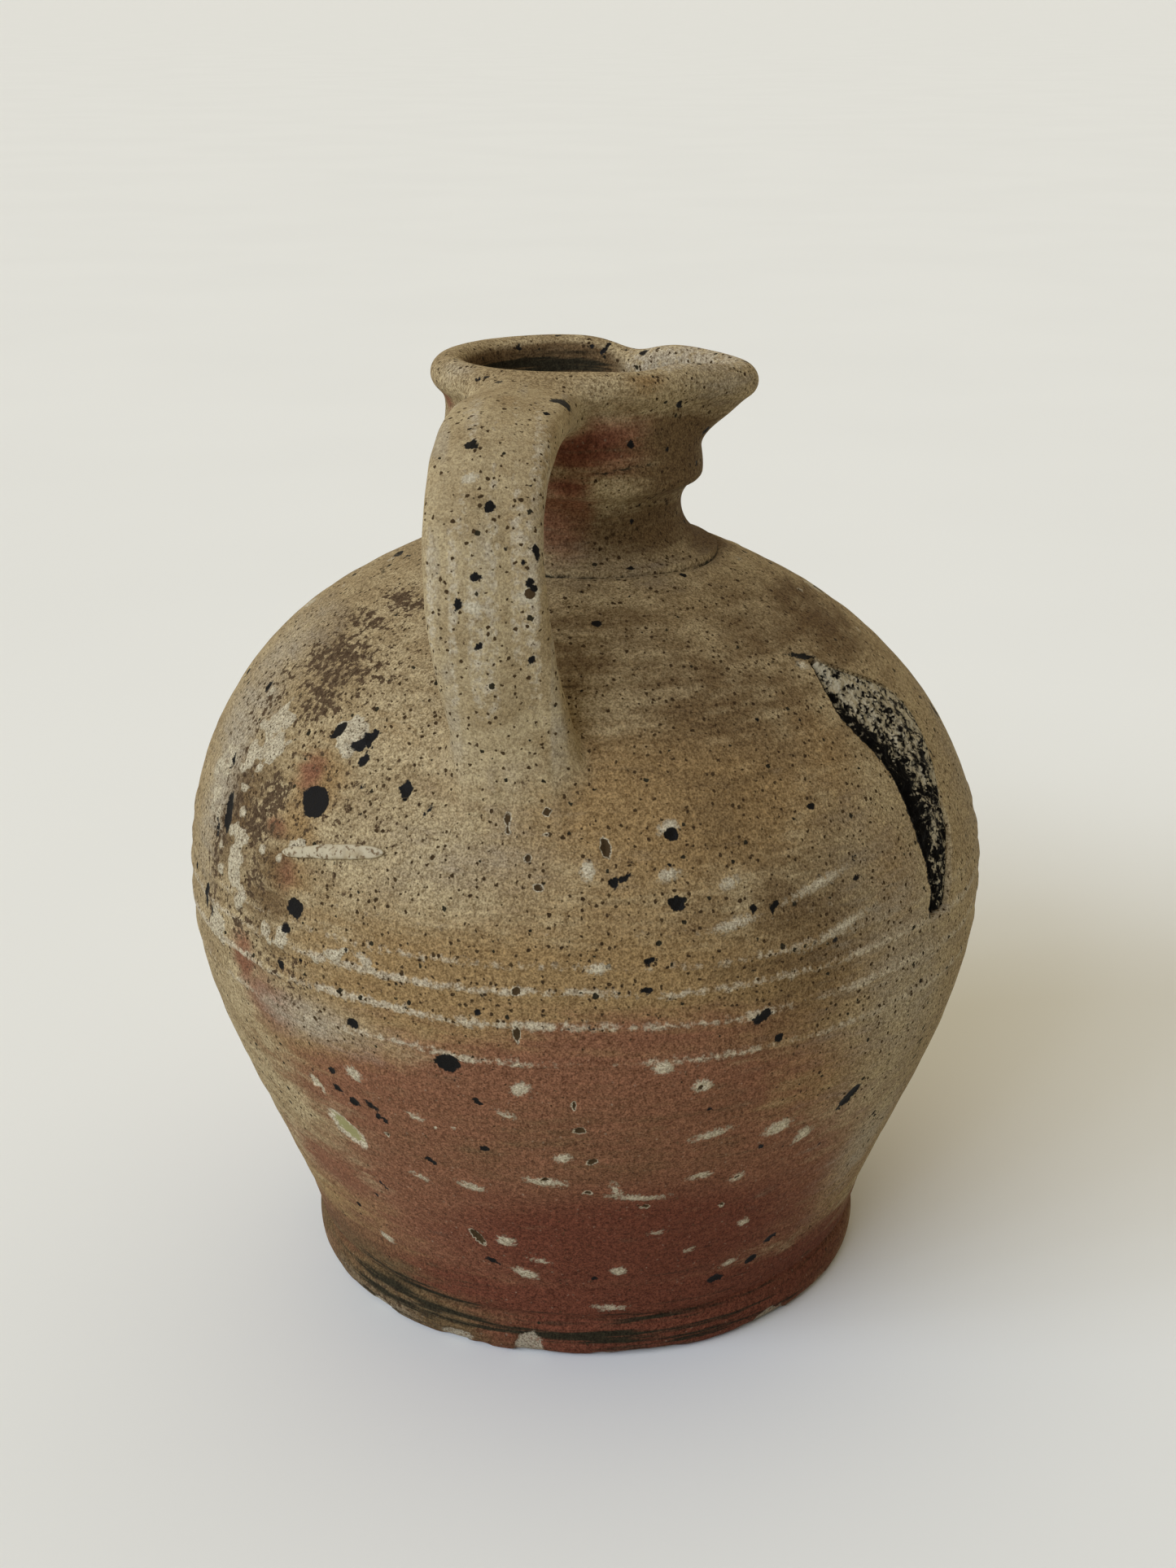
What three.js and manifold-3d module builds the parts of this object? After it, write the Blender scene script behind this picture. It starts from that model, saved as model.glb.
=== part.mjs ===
// Wood-fired stoneware jug with one strap handle and a pulled pouring lip, as the clay pieces
// that a potter makes one by one and lutes together with slip before the firing.
// Millimetres, +Z up the throwing axis, origin at the middle of the base,
// +X towards the pouring lip and -Y towards the handle.
import * as THREE from 'three';
import { mergeVertices } from 'three/addons/utils/BufferGeometryUtils.js';
import Module from 'manifold-3d';

// Heights, each measured from the level below it
const BASE_THICKNESS = 10.5;
const BELLY_RISE = 89.5;
const SHOULDER_RISE = 78;
const NECK_RISE = 11;
const LEDGE_RISE = 9.5;
const MOUTH_RISE = 24.5;

// Radii of the outside
const FOOT_RADIUS = 68.6;
const BELLY_RADIUS = 95.7;
const NECK_FOOT_RADIUS = 34.5;
const NECK_WAIST_RADIUS = 25.6;
const LEDGE_RADIUS = 30.6;
const RIM_RADIUS = 32.2;

// Walls and edges
const WALL = 7;
const NECK_WALL = 5.6;
const RIM_WIDTH = 8.8;
const RIM_DEPTH = 8.6;
const LEDGE_BAND = 3.2;
const MOUTH_WAIST = 1.5;
const BEAD_START = THREE.MathUtils.degToRad(-50);
const BEAD_END = THREE.MathUtils.degToRad(90);
const BASE_EDGE_WEAR = 1.6;

// How the wall's curve leaves each level
const FOOT_FLARE_OUT = 6.4;
const FOOT_FLARE_UP = 29.5;
const SWELL_BELOW_BELLY = 33;
const SWELL_ABOVE_BELLY = 25;
const SHOULDER_SWELL_OUT = 50.5;
const SHOULDER_SWELL_DOWN = 21;
const NECK_SWEEP_IN = 6.5;
const NECK_SWEEP_UP = 2.5;
const NECK_WAIST_BEND = 4;

// Luted joints: a slip-filled gap, and how far one piece laps the next
const SLIP_GAP = 0.3;
const LAP = 4;

// Neck leaning away from the pouring lip, and the lip pulled out of the rim
const NECK_LEAN = 3.5;
const LIP_REACH = 11;
const LIP_DROP = 4;
const LIP_START = 3;
const LIP_SPREAD = THREE.MathUtils.degToRad(21);

// Strap handle, with the lutes of clay pressed round its two ends
const STRAP_WIDTH = 25;
const STRAP_THICKNESS = 11;
const STRAP_CORNER = 4.5;
const HANDLE_SIDE = -9.3;
const HANDLE_BOW = -7.7;
const HANDLE_ROOT_DROP = 9.5;
const HANDLE_FOOT_DROP = 28;
const HANDLE_ARCH = 48;
const HANDLE_LIFT = 10;
const HANDLE_STAND = 38;
const HANDLE_FOOT_SPLAY = 6;
const HANDLE_EMBED = 6;
const LUTE_MARGIN = 3;
const UPPER_LUTE_OUT = 9;
const LOWER_LUTE_OUT = 4.5;

// Burst scar in the shoulder, with the slag that the kiln left in it
const SCAR_AZIMUTH = THREE.MathUtils.degToRad(-31);
const SCAR_RISE = 36;
const SCAR_UP = 35;
const SCAR_DOWN = 31.5;
const SCAR_BULGE = 15.8;
const SCAR_BULGE_UP = 11;
const SCAR_EDGE = 8.5;
const SCAR_FLOOR = 3;
const CLINKER_THICKNESS = 2.4;

// Sliver of pale clay stuck to the shoulder
const SLIVER_AZIMUTH = THREE.MathUtils.degToRad(-126);
const SLIVER_RISE = 29.2;
const SLIVER_LENGTH = 29;
const SLIVER_WIDTH = 4.6;
const SLIVER_THICKNESS = 1.6;
const SLIVER_TURN = THREE.MathUtils.degToRad(9);

// Steps round the axis and along the curves
const TURNS = 48;
const WALL_STEPS = 8;
const INSIDE_STEPS = 5;
const NECK_STEPS = 4;
const BEAD_STEPS = 7;
const STRAP_STEPS = 18;
const CORNER_STEPS = 3;
const OUTLINE_STEPS = 6;
const LUTE_SIDES = 20;
const LUTE_RINGS = 12;
const HALVINGS = 20;

const bellyHeight = BASE_THICKNESS + BELLY_RISE;
const neckFootHeight = bellyHeight + SHOULDER_RISE;
const waistHeight = neckFootHeight + NECK_RISE;
const ledgeHeight = waistHeight + LEDGE_RISE;
const rimHeight = ledgeHeight + MOUTH_RISE;
const neckBore = NECK_WAIST_RADIUS - NECK_WALL;
const shoulderHole = (NECK_FOOT_RADIUS + neckBore) / 2;
const bellyLap = BELLY_RADIUS - WALL / 2;
const ledgeLap = (LEDGE_RADIUS + neckBore) / 2;
const scarDepth = WALL - SCAR_FLOOR;

const wasm = await Module();
wasm.setup();

// Closed geometry to a solid that can be joined and cut
function solidOf(geometry) {
  const plain = geometry.clone();
  plain.deleteAttribute('normal');
  plain.deleteAttribute('uv');
  const merged = mergeVertices(plain);
  return new wasm.Manifold(new wasm.Mesh({
    numProp: 3,
    vertProperties: new Float32Array(merged.attributes.position.array),
    triVerts: new Uint32Array(merged.index.array),
  }));
}

function geometryOf(solid) {
  const mesh = solid.getMesh();
  const geometry = new THREE.BufferGeometry();
  geometry.setAttribute('position', new THREE.BufferAttribute(mesh.vertProperties, 3));
  geometry.setIndex(new THREE.BufferAttribute(mesh.triVerts, 1));
  return geometry;
}

// Points of [radius, height] turned round the Z axis
function turned(profile) {
  const points = profile.map(([radius, height]) => new THREE.Vector2(radius, height));
  return new THREE.LatheGeometry(points, TURNS).rotateX(Math.PI / 2);
}

// A profile that closes on itself, for a piece that is open along the axis
function ring(profile) {
  return turned([...profile, profile[0]]);
}

function bezier(...points) {
  const [a, b, c, d] = points.map(([radius, height]) => new THREE.Vector2(radius, height));
  return new THREE.CubicBezierCurve(a, b, c, d);
}

// Points along a wall's curve, moved out from it by an offset
function wallPoints(curve, steps, offset = 0) {
  return Array.from({ length: steps + 1 }, (_, i) => {
    const at = curve.getPoint(i / steps);
    const along = curve.getTangent(i / steps);
    return [at.x + along.y * offset, at.y - along.x * offset];
  });
}

// Part of a wall's points above a height, with a point at that height
function above(points, height) {
  const next = points.findIndex(([, z]) => z > height);
  const [low, high] = [points[next - 1], points[next]];
  const share = (height - low[1]) / (high[1] - low[1]);
  return [[low[0] + share * (high[0] - low[0]), height], ...points.slice(next)];
}

const lowerCurve = bezier(
  [FOOT_RADIUS, BASE_THICKNESS],
  [FOOT_RADIUS + FOOT_FLARE_OUT, BASE_THICKNESS + FOOT_FLARE_UP],
  [BELLY_RADIUS, bellyHeight - SWELL_BELOW_BELLY],
  [BELLY_RADIUS, bellyHeight],
);
const shoulderCurve = bezier(
  [BELLY_RADIUS, bellyHeight],
  [BELLY_RADIUS, bellyHeight + SWELL_ABOVE_BELLY],
  [NECK_FOOT_RADIUS + SHOULDER_SWELL_OUT, neckFootHeight - SHOULDER_SWELL_DOWN],
  [NECK_FOOT_RADIUS, neckFootHeight],
);

// Shoulder filled to the axis, its skin moved out by an offset: a tool for cutting to its surface
function shoulderFill(offset) {
  const skin = wallPoints(shoulderCurve, WALL_STEPS, offset);
  const top = skin.at(-1)[1];
  return solidOf(turned([[0, bellyHeight], ...skin, [0, top]]));
}

// The share of the curve at which the shoulder reaches a height
function shoulderShareAt(height) {
  let [low, high] = [0, 1];
  for (let i = 0; i < HALVINGS; i += 1) {
    const middle = (low + high) / 2;
    if (shoulderCurve.getPoint(middle).y < height) low = middle;
    else high = middle;
  }
  return low;
}

// Frame on the shoulder's surface: x to the right, y up the slope, z out of the wall
function shoulderFrame(azimuth, height) {
  const share = shoulderShareAt(height);
  const at = shoulderCurve.getPoint(share);
  const along = shoulderCurve.getTangent(share);
  const outward = new THREE.Vector3(Math.cos(azimuth), Math.sin(azimuth), 0);
  const up = outward.clone().multiplyScalar(along.x).setZ(along.y);
  const out = outward.clone().multiplyScalar(along.y).setZ(-along.x);
  const right = up.clone().cross(out);
  const place = outward.multiplyScalar(at.x).setZ(at.y);
  return new THREE.Matrix4().makeBasis(right, up, out).setPosition(place);
}

// Outline drawn on the shoulder's surface and raised through the whole wall
function shoulderPrism(outline, frame) {
  const reach = 2 * WALL;
  const settings = { depth: 2 * reach, bevelEnabled: false, curveSegments: OUTLINE_STEPS };
  const prism = new THREE.ExtrudeGeometry(outline, settings).translate(0, 0, -reach);
  return solidOf(prism.applyMatrix4(frame));
}

// Layer that follows the shoulder between two offsets from its skin
function shoulderLayer(low, high) {
  return shoulderFill(high).subtract(shoulderFill(low));
}

function baseSlab() {
  return solidOf(turned([
    [0, 0],
    [FOOT_RADIUS - BASE_EDGE_WEAR, 0],
    [FOOT_RADIUS, BASE_EDGE_WEAR],
    [FOOT_RADIUS, BASE_THICKNESS],
    [0, BASE_THICKNESS],
  ]));
}

function lowerWall() {
  const seat = BASE_THICKNESS + SLIP_GAP;
  const outside = above(wallPoints(lowerCurve, WALL_STEPS), seat);
  const inside = wallPoints(lowerCurve, INSIDE_STEPS, -WALL).filter(([, z]) => z > seat);
  return solidOf(ring([
    ...outside,
    [bellyLap, bellyHeight],
    [bellyLap, bellyHeight + LAP],
    [BELLY_RADIUS - WALL, bellyHeight + LAP],
    ...inside.reverse(),
    [FOOT_RADIUS - WALL, seat],
  ]));
}

// Leaf-shaped outline of the scar, wide at the top and drawn out to a tail below
function scarOutline(scale) {
  const up = SCAR_UP * scale;
  const down = -SCAR_DOWN * scale;
  const bulge = SCAR_BULGE * scale;
  const bulgeUp = SCAR_BULGE_UP * scale;
  const edge = -SCAR_EDGE * scale;
  const outline = new THREE.Shape();
  outline.moveTo(edge, up);
  outline.bezierCurveTo(0, (up + bulgeUp) / 2, bulge, up - bulgeUp, bulge, bulgeUp);
  outline.bezierCurveTo(bulge, 0, 0, down / 2, edge / 2, down);
  outline.bezierCurveTo(edge, down, edge / 2, 0, edge, bulgeUp);
  outline.closePath();
  return outline;
}

const scarFrame = shoulderFrame(SCAR_AZIMUTH, bellyHeight + SCAR_RISE);

function shoulderWall() {
  const seat = bellyHeight + SLIP_GAP;
  const lapTop = seat + LAP;
  const outside = above(wallPoints(shoulderCurve, WALL_STEPS), seat);
  const inside = above(wallPoints(shoulderCurve, INSIDE_STEPS, -WALL), lapTop);
  const wall = solidOf(ring([
    ...outside,
    [shoulderHole, neckFootHeight],
    [shoulderHole, inside.at(-1)[1]],
    ...inside.reverse(),
    [bellyLap + SLIP_GAP, lapTop],
    [bellyLap + SLIP_GAP, seat],
  ]));
  const scar = shoulderPrism(scarOutline(1), scarFrame).subtract(shoulderFill(-scarDepth));
  return wall.subtract(scar);
}

function kilnClinker() {
  const seat = SLIP_GAP - scarDepth;
  const outline = scarOutline(1 - SLIP_GAP / SCAR_EDGE);
  const prism = shoulderPrism(outline, scarFrame);
  return prism.intersect(shoulderLayer(seat, seat + CLINKER_THICKNESS));
}

function claySliver() {
  const half = SLIVER_LENGTH / 2;
  const outline = new THREE.Shape();
  outline.moveTo(-half, 0);
  outline.quadraticCurveTo(0, SLIVER_WIDTH, half, 0);
  outline.quadraticCurveTo(0, -SLIVER_WIDTH, -half, 0);
  const frame = shoulderFrame(SLIVER_AZIMUTH, bellyHeight + SLIVER_RISE);
  frame.multiply(new THREE.Matrix4().makeRotationZ(SLIVER_TURN));
  const layer = shoulderLayer(SLIP_GAP, SLIP_GAP + SLIVER_THICKNESS);
  return shoulderPrism(outline, frame).intersect(layer);
}

// Neck with a spigot that sits in the shoulder's hole, a waist and a ledge
function neckCollar() {
  const seat = neckFootHeight + SLIP_GAP;
  const sweep = bezier(
    [NECK_FOOT_RADIUS, seat],
    [NECK_FOOT_RADIUS - NECK_SWEEP_IN, seat + NECK_SWEEP_UP],
    [NECK_WAIST_RADIUS, waistHeight - NECK_WAIST_BEND],
    [NECK_WAIST_RADIUS, waistHeight],
  );
  const bandFoot = ledgeHeight - LEDGE_BAND;
  const underLedge = bezier(
    [NECK_WAIST_RADIUS, waistHeight],
    [NECK_WAIST_RADIUS, (waistHeight + bandFoot) / 2],
    [(NECK_WAIST_RADIUS + LEDGE_RADIUS) / 2, bandFoot],
    [LEDGE_RADIUS, bandFoot],
  );
  const spigot = shoulderHole - SLIP_GAP;
  return solidOf(ring([
    ...wallPoints(sweep, NECK_STEPS),
    ...wallPoints(underLedge, NECK_STEPS).slice(1),
    [LEDGE_RADIUS, ledgeHeight],
    [ledgeLap, ledgeHeight],
    [ledgeLap, ledgeHeight + LAP],
    [neckBore, ledgeHeight + LAP],
    [neckBore, neckFootHeight - LAP],
    [spigot, neckFootHeight - LAP],
    [spigot, seat],
  ]));
}

// Outside of the mouth from its seat on the ledge to the middle of the rim's top, moved out by an offset
function mouthSkin(offset) {
  const seat = ledgeHeight + SLIP_GAP;
  const [beadRadius, beadHeight] = [RIM_RADIUS - RIM_WIDTH / 2, rimHeight - RIM_DEPTH / 2];
  const waist = [LEDGE_RADIUS - MOUTH_WAIST + offset, (seat + beadHeight) / 2];
  const skin = [[LEDGE_RADIUS + offset, seat], waist];
  for (let i = 0; i <= BEAD_STEPS; i += 1) {
    const turn = THREE.MathUtils.lerp(BEAD_START, BEAD_END, i / BEAD_STEPS);
    const out = beadRadius + (RIM_WIDTH / 2 + offset) * Math.cos(turn);
    skin.push([out, beadHeight + (RIM_DEPTH / 2 + offset) * Math.sin(turn)]);
  }
  return skin;
}

// Moves the rim out and down over the pouring lip, and more the nearer it is to the top
function pullLip(geometry) {
  const place = geometry.attributes.position;
  const foot = ledgeHeight + LIP_START;
  for (let i = 0; i < place.count; i += 1) {
    const [x, y, z] = [place.getX(i), place.getY(i), place.getZ(i)];
    const rise = THREE.MathUtils.clamp((z - foot) / (rimHeight - foot), 0, 1);
    const pull = rise * Math.exp(-((Math.atan2(y, x) / LIP_SPREAD) ** 2));
    const radius = Math.hypot(x, y);
    const stretch = radius > 0 ? 1 + (LIP_REACH * pull) / radius : 1;
    place.setXYZ(i, x * stretch, y * stretch, z - LIP_DROP * pull * rise);
  }
  return geometry;
}

function pouringMouth() {
  const seat = ledgeHeight + SLIP_GAP;
  const lapTop = seat + LAP;
  const bore = RIM_RADIUS - RIM_WIDTH;
  return solidOf(pullLip(ring([
    ...mouthSkin(0),
    [bore + (RIM_WIDTH / 2) * (1 - Math.SQRT1_2), rimHeight - (RIM_DEPTH / 2) * (1 - Math.SQRT1_2)],
    [bore, rimHeight - RIM_DEPTH / 2],
    [neckBore, lapTop + LAP],
    [neckBore, lapTop],
    [ledgeLap + SLIP_GAP, lapTop],
    [ledgeLap + SLIP_GAP, seat],
  ])));
}

// Mouth and neck filled to the axis with room for slip: a tool for cutting the handle's end to them
function mouthFill() {
  const skin = mouthSkin(SLIP_GAP);
  return solidOf(pullLip(turned([
    [0, neckFootHeight],
    [LEDGE_RADIUS + SLIP_GAP, neckFootHeight],
    ...skin,
    [0, skin.at(-1)[1]],
  ])));
}

// Middle line of the handle, in a plane beside the axis, from inside the mouth to inside the shoulder
const handleRootHeight = rimHeight - HANDLE_ROOT_DROP;
const handleRootRadius = (LEDGE_RADIUS - MOUTH_WAIST + RIM_RADIUS) / 2;
const handleFootHeight = neckFootHeight - HANDLE_FOOT_DROP;
const handleFootRadius = shoulderCurve.getPoint(shoulderShareAt(handleFootHeight)).x;
const handleFootReach = Math.sqrt(handleFootRadius ** 2 - HANDLE_SIDE ** 2);
const handleRoot = new THREE.Vector3(HANDLE_SIDE, HANDLE_EMBED - handleRootRadius, handleRootHeight);
const handleFoot = new THREE.Vector3(
  HANDLE_SIDE,
  HANDLE_EMBED / 2 - handleFootReach,
  handleFootHeight - HANDLE_EMBED,
);
const handleLine = new THREE.CubicBezierCurve3(
  handleRoot,
  new THREE.Vector3(HANDLE_SIDE, -handleRootRadius - HANDLE_ARCH, handleRootHeight + HANDLE_LIFT),
  new THREE.Vector3(HANDLE_SIDE, -handleFootReach - HANDLE_FOOT_SPLAY, handleFootHeight + HANDLE_STAND),
  handleFoot,
);

// Bends the strap sideways between its two ends
function bowSideways(geometry) {
  const place = geometry.attributes.position;
  const chord = handleFoot.clone().sub(handleRoot);
  const at = new THREE.Vector3();
  for (let i = 0; i < place.count; i += 1) {
    at.fromBufferAttribute(place, i).sub(handleRoot);
    const share = THREE.MathUtils.clamp(at.dot(chord) / chord.lengthSq(), 0, 1);
    place.setX(i, place.getX(i) + 4 * HANDLE_BOW * share * (1 - share));
  }
  return geometry;
}

// Strap with rounded corners, its section grown by a margin, along the handle's middle line
function strap(margin) {
  const [wide, thick] = [STRAP_WIDTH / 2 + margin, STRAP_THICKNESS / 2 + margin];
  const corner = STRAP_CORNER + margin;
  const quarter = Math.PI / 2;
  const section = new THREE.Shape();
  section.absarc(wide - corner, thick - corner, corner, 0, quarter);
  section.absarc(corner - wide, thick - corner, corner, quarter, 2 * quarter);
  section.absarc(corner - wide, corner - thick, corner, 2 * quarter, 3 * quarter);
  section.absarc(wide - corner, corner - thick, corner, 3 * quarter, 4 * quarter);
  section.closePath();
  const settings = { steps: STRAP_STEPS, extrudePath: handleLine, curveSegments: CORNER_STEPS };
  return solidOf(bowSideways(new THREE.ExtrudeGeometry(section, settings)));
}

function strapHandle() {
  return strap(0).subtract(mouthFill()).subtract(shoulderFill(SLIP_GAP));
}

// Wad of clay smoothed round one end of the strap
function wad(wide, long, high) {
  return new THREE.SphereGeometry(1, LUTE_SIDES, LUTE_RINGS).scale(wide, long, high);
}

// Saddle of clay under the handle's root, up its two sides and against the mouth
function upperLute() {
  const lump = wad(STRAP_WIDTH / 2 + LUTE_MARGIN, UPPER_LUTE_OUT, STRAP_THICKNESS / 2 + LUTE_MARGIN);
  const outward = Math.sqrt(handleRootRadius ** 2 - HANDLE_SIDE ** 2);
  lump.translate(HANDLE_SIDE, -outward, handleRootHeight - STRAP_THICKNESS / 2);
  return solidOf(lump).subtract(strap(SLIP_GAP)).subtract(mouthFill());
}

// Low collar of clay round the handle's foot
function lowerLute() {
  const azimuth = Math.atan2(-handleFootReach, HANDLE_SIDE);
  const lump = wad(STRAP_WIDTH / 2 + LUTE_MARGIN, STRAP_THICKNESS + LUTE_MARGIN, LOWER_LUTE_OUT);
  lump.applyMatrix4(shoulderFrame(azimuth, handleFootHeight));
  return solidOf(lump).subtract(strap(SLIP_GAP)).subtract(shoulderFill(SLIP_GAP));
}

// Moves the neck and all that is on it sideways, easing in from the belly up
function lean(geometry) {
  const place = geometry.attributes.position;
  for (let i = 0; i < place.count; i += 1) {
    const share = THREE.MathUtils.smoothstep(place.getZ(i), bellyHeight, neckFootHeight);
    place.setX(i, place.getX(i) - NECK_LEAN * share);
  }
  return geometry;
}

const buffStoneware = new THREE.MeshStandardMaterial({ color: 0x94856a, roughness: 0.85, metalness: 0 });
const flashedStoneware = new THREE.MeshStandardMaterial({ color: 0x8a5c48, roughness: 0.85, metalness: 0 });
const slag = new THREE.MeshStandardMaterial({ color: 0x3a3833, roughness: 0.7, metalness: 0 });
const paleClay = new THREE.MeshStandardMaterial({ color: 0xb0a68d, roughness: 0.9, metalness: 0 });

const pieces = [
  ['base_slab', baseSlab(), flashedStoneware],
  ['lower_wall', lowerWall(), flashedStoneware],
  ['shoulder_wall', shoulderWall(), buffStoneware],
  ['neck_collar', neckCollar(), buffStoneware],
  ['pouring_mouth', pouringMouth(), buffStoneware],
  ['strap_handle', strapHandle(), buffStoneware],
  ['upper_handle_lute', upperLute(), buffStoneware],
  ['lower_handle_lute', lowerLute(), buffStoneware],
  ['kiln_clinker', kilnClinker(), slag],
  ['clay_sliver', claySliver(), paleClay],
];

const jug = new THREE.Group();
jug.name = 'jug';
for (const [name, solid, material] of pieces) {
  const mesh = new THREE.Mesh(lean(geometryOf(solid)), material);
  mesh.name = name;
  jug.add(mesh);
}

export default jug;
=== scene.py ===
"""Looks of a wood-fired stoneware jug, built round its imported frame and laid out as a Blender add-on.

Lengths are millimetres in the frame's axes: +Z up the throwing axis, +X towards the pouring lip and
-Y towards the handle and the viewer. A mesh is scaled to metres when it becomes an object.
"""
import functools
import itertools
import math
from collections import namedtuple

import bpy
import numpy as np
from bpy.props import FloatProperty, FloatVectorProperty, PointerProperty
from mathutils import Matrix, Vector
from mathutils.bvhtree import BVHTree


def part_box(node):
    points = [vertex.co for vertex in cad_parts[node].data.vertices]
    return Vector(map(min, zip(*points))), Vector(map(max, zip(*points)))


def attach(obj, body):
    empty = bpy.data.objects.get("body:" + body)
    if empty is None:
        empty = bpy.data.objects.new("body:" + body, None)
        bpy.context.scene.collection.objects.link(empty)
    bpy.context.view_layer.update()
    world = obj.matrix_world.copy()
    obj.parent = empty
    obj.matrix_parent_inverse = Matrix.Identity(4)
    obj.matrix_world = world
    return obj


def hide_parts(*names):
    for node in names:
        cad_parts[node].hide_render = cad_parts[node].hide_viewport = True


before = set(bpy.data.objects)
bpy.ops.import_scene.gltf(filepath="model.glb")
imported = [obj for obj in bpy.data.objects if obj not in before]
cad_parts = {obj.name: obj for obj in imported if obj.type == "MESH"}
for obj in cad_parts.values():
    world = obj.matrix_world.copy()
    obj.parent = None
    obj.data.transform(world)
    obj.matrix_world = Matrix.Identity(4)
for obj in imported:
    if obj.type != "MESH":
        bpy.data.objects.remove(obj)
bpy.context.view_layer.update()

bl_info = {
    "name": "Stoneware Jug",
    "version": (1, 0, 0),
    "blender": (4, 5, 0),
    "location": "View3D > Sidebar > Jug",
    "description": "Builds the fired clay, slag and stage of a wood-fired stoneware jug",
    "category": "Object",
}

MM = 0.001
SEED = 7

# The photograph's frame and the camera that fits it
PHOTO_WIDTH, PHOTO_HEIGHT = 1445, 1927
FOCAL_PIXELS = 2672
SENSOR = 36
CAMERA_PLACE = np.array([0.5, -500.0, 300.0])
CAMERA_PITCH = math.radians(20)
AXIS_PIXEL = 720

# Soft light from a wide, low window on the left, in a room that is bright behind and warm and dim in front
WINDOW_TURN, WINDOW_RISE, WINDOW_WIDE = math.radians(225), math.radians(31), math.radians(64)
WINDOW_PANES, PANE_OVERLAP = 6, 1.4
WINDOW_STRENGTH = 2.85
ROOM_TURN, ROOM_RISE = math.radians(100), math.radians(27)
FLOOR_REACH = 400  # metres

# Fineness of the clay's skin
COLUMNS = 720
FOOT_STEP = 0.75
WALL_STEP = 0.92
NECK_STEP = 0.62
CORNER_ROUNDING = 4
HANDLE_COLUMNS = 120
HANDLE_STEP = 0.7
POINTS_AT_ONCE = 4096
FAR = 9.0  # depth outside a mark that stands for none near

# How the profile leaves each level, close to the solids, and the slip in their joints
SLIP_GAP = 0.3
FOOT_INSET, AXIS_GAP = 5, 0.5
EDGE_WEAR = 1.8
FOOT_FLARE = (6.4, 29.5)
BELLY_SWELL = (33, 25)
SHOULDER_SWELL = (50.5, 21)
NECK_SWEEP = (6.5, 2.5)
WAIST_HEIGHT, WAIST_RADIUS, WAIST_BEND = 189, 25.6, 4
LEDGE_RADIUS, LEDGE_BAND = 30.6, 3.2
MOUTH_WAIST, MOUTH_UNDERCUT, MOUTH_DEPTH = 0.8, 3, 8
BEAD_START = math.radians(-60)
NECK_BORE = 20
LIP_START = 3
LIP_DROP = 2
LIP_SPREAD = math.radians(21)
LIP_SIDES = math.radians(40), math.radians(75)
PINCH_AZIMUTH, PINCH_SPREAD = math.radians(55), math.radians(18)
PINCH_DIP, PINCH_IN, PINCH_NEAR = 2.6, 1.2, 0.3

# Middle line of the strap handle before the neck's lean
HANDLE_SIDE, HANDLE_BOW = -9.3, -7.7
HANDLE_ROOT_RADIUS = 30.65
HANDLE_ROOT_DROP, HANDLE_FOOT_DROP = 9.5, 28
HANDLE_ARCH, HANDLE_LIFT = 48, 10
HANDLE_STAND, HANDLE_SPLAY = 38, 6
HANDLE_EMBED = 6
HANDLE_OVERRUN = 14
HANDLE_SINK = 2.0

# Section of the strap, the stretch of its drag lines, and how strong the grit is on it and on the body
STRAP_SQUARENESS = 2.9
STRAP_WAIST, STRAP_FLARE = 0.985, 0.06
STRAP_RIDGES, RIDGE_WAVES, RIDGE_SHIFT = 0.35, 0.8, 0.7
STRAP_DRAG, STRAP_STREAKS = (1, 0.12, 0.12), (1, 0.1, 0.1)
STRAP_GRIT, BODY_GRIT = 0.52, 0.85

# The lutes: how far each climbs the strap and spreads on the skin, to the right and left, over and under it
LUTE_ROWS, LUTE_BEND = 20, 2
LUTE_TUCK, LUTE_ROOT = 0.9, (1.6, 1.2)
UPPER_CLIMB, UPPER_SPREAD = (4, 4, 9, 4), (4, 4, 5, 3)
LOWER_CLIMB, LOWER_SPREAD = (2, 9, 13, 4), (2, 9, 14, 4)

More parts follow.
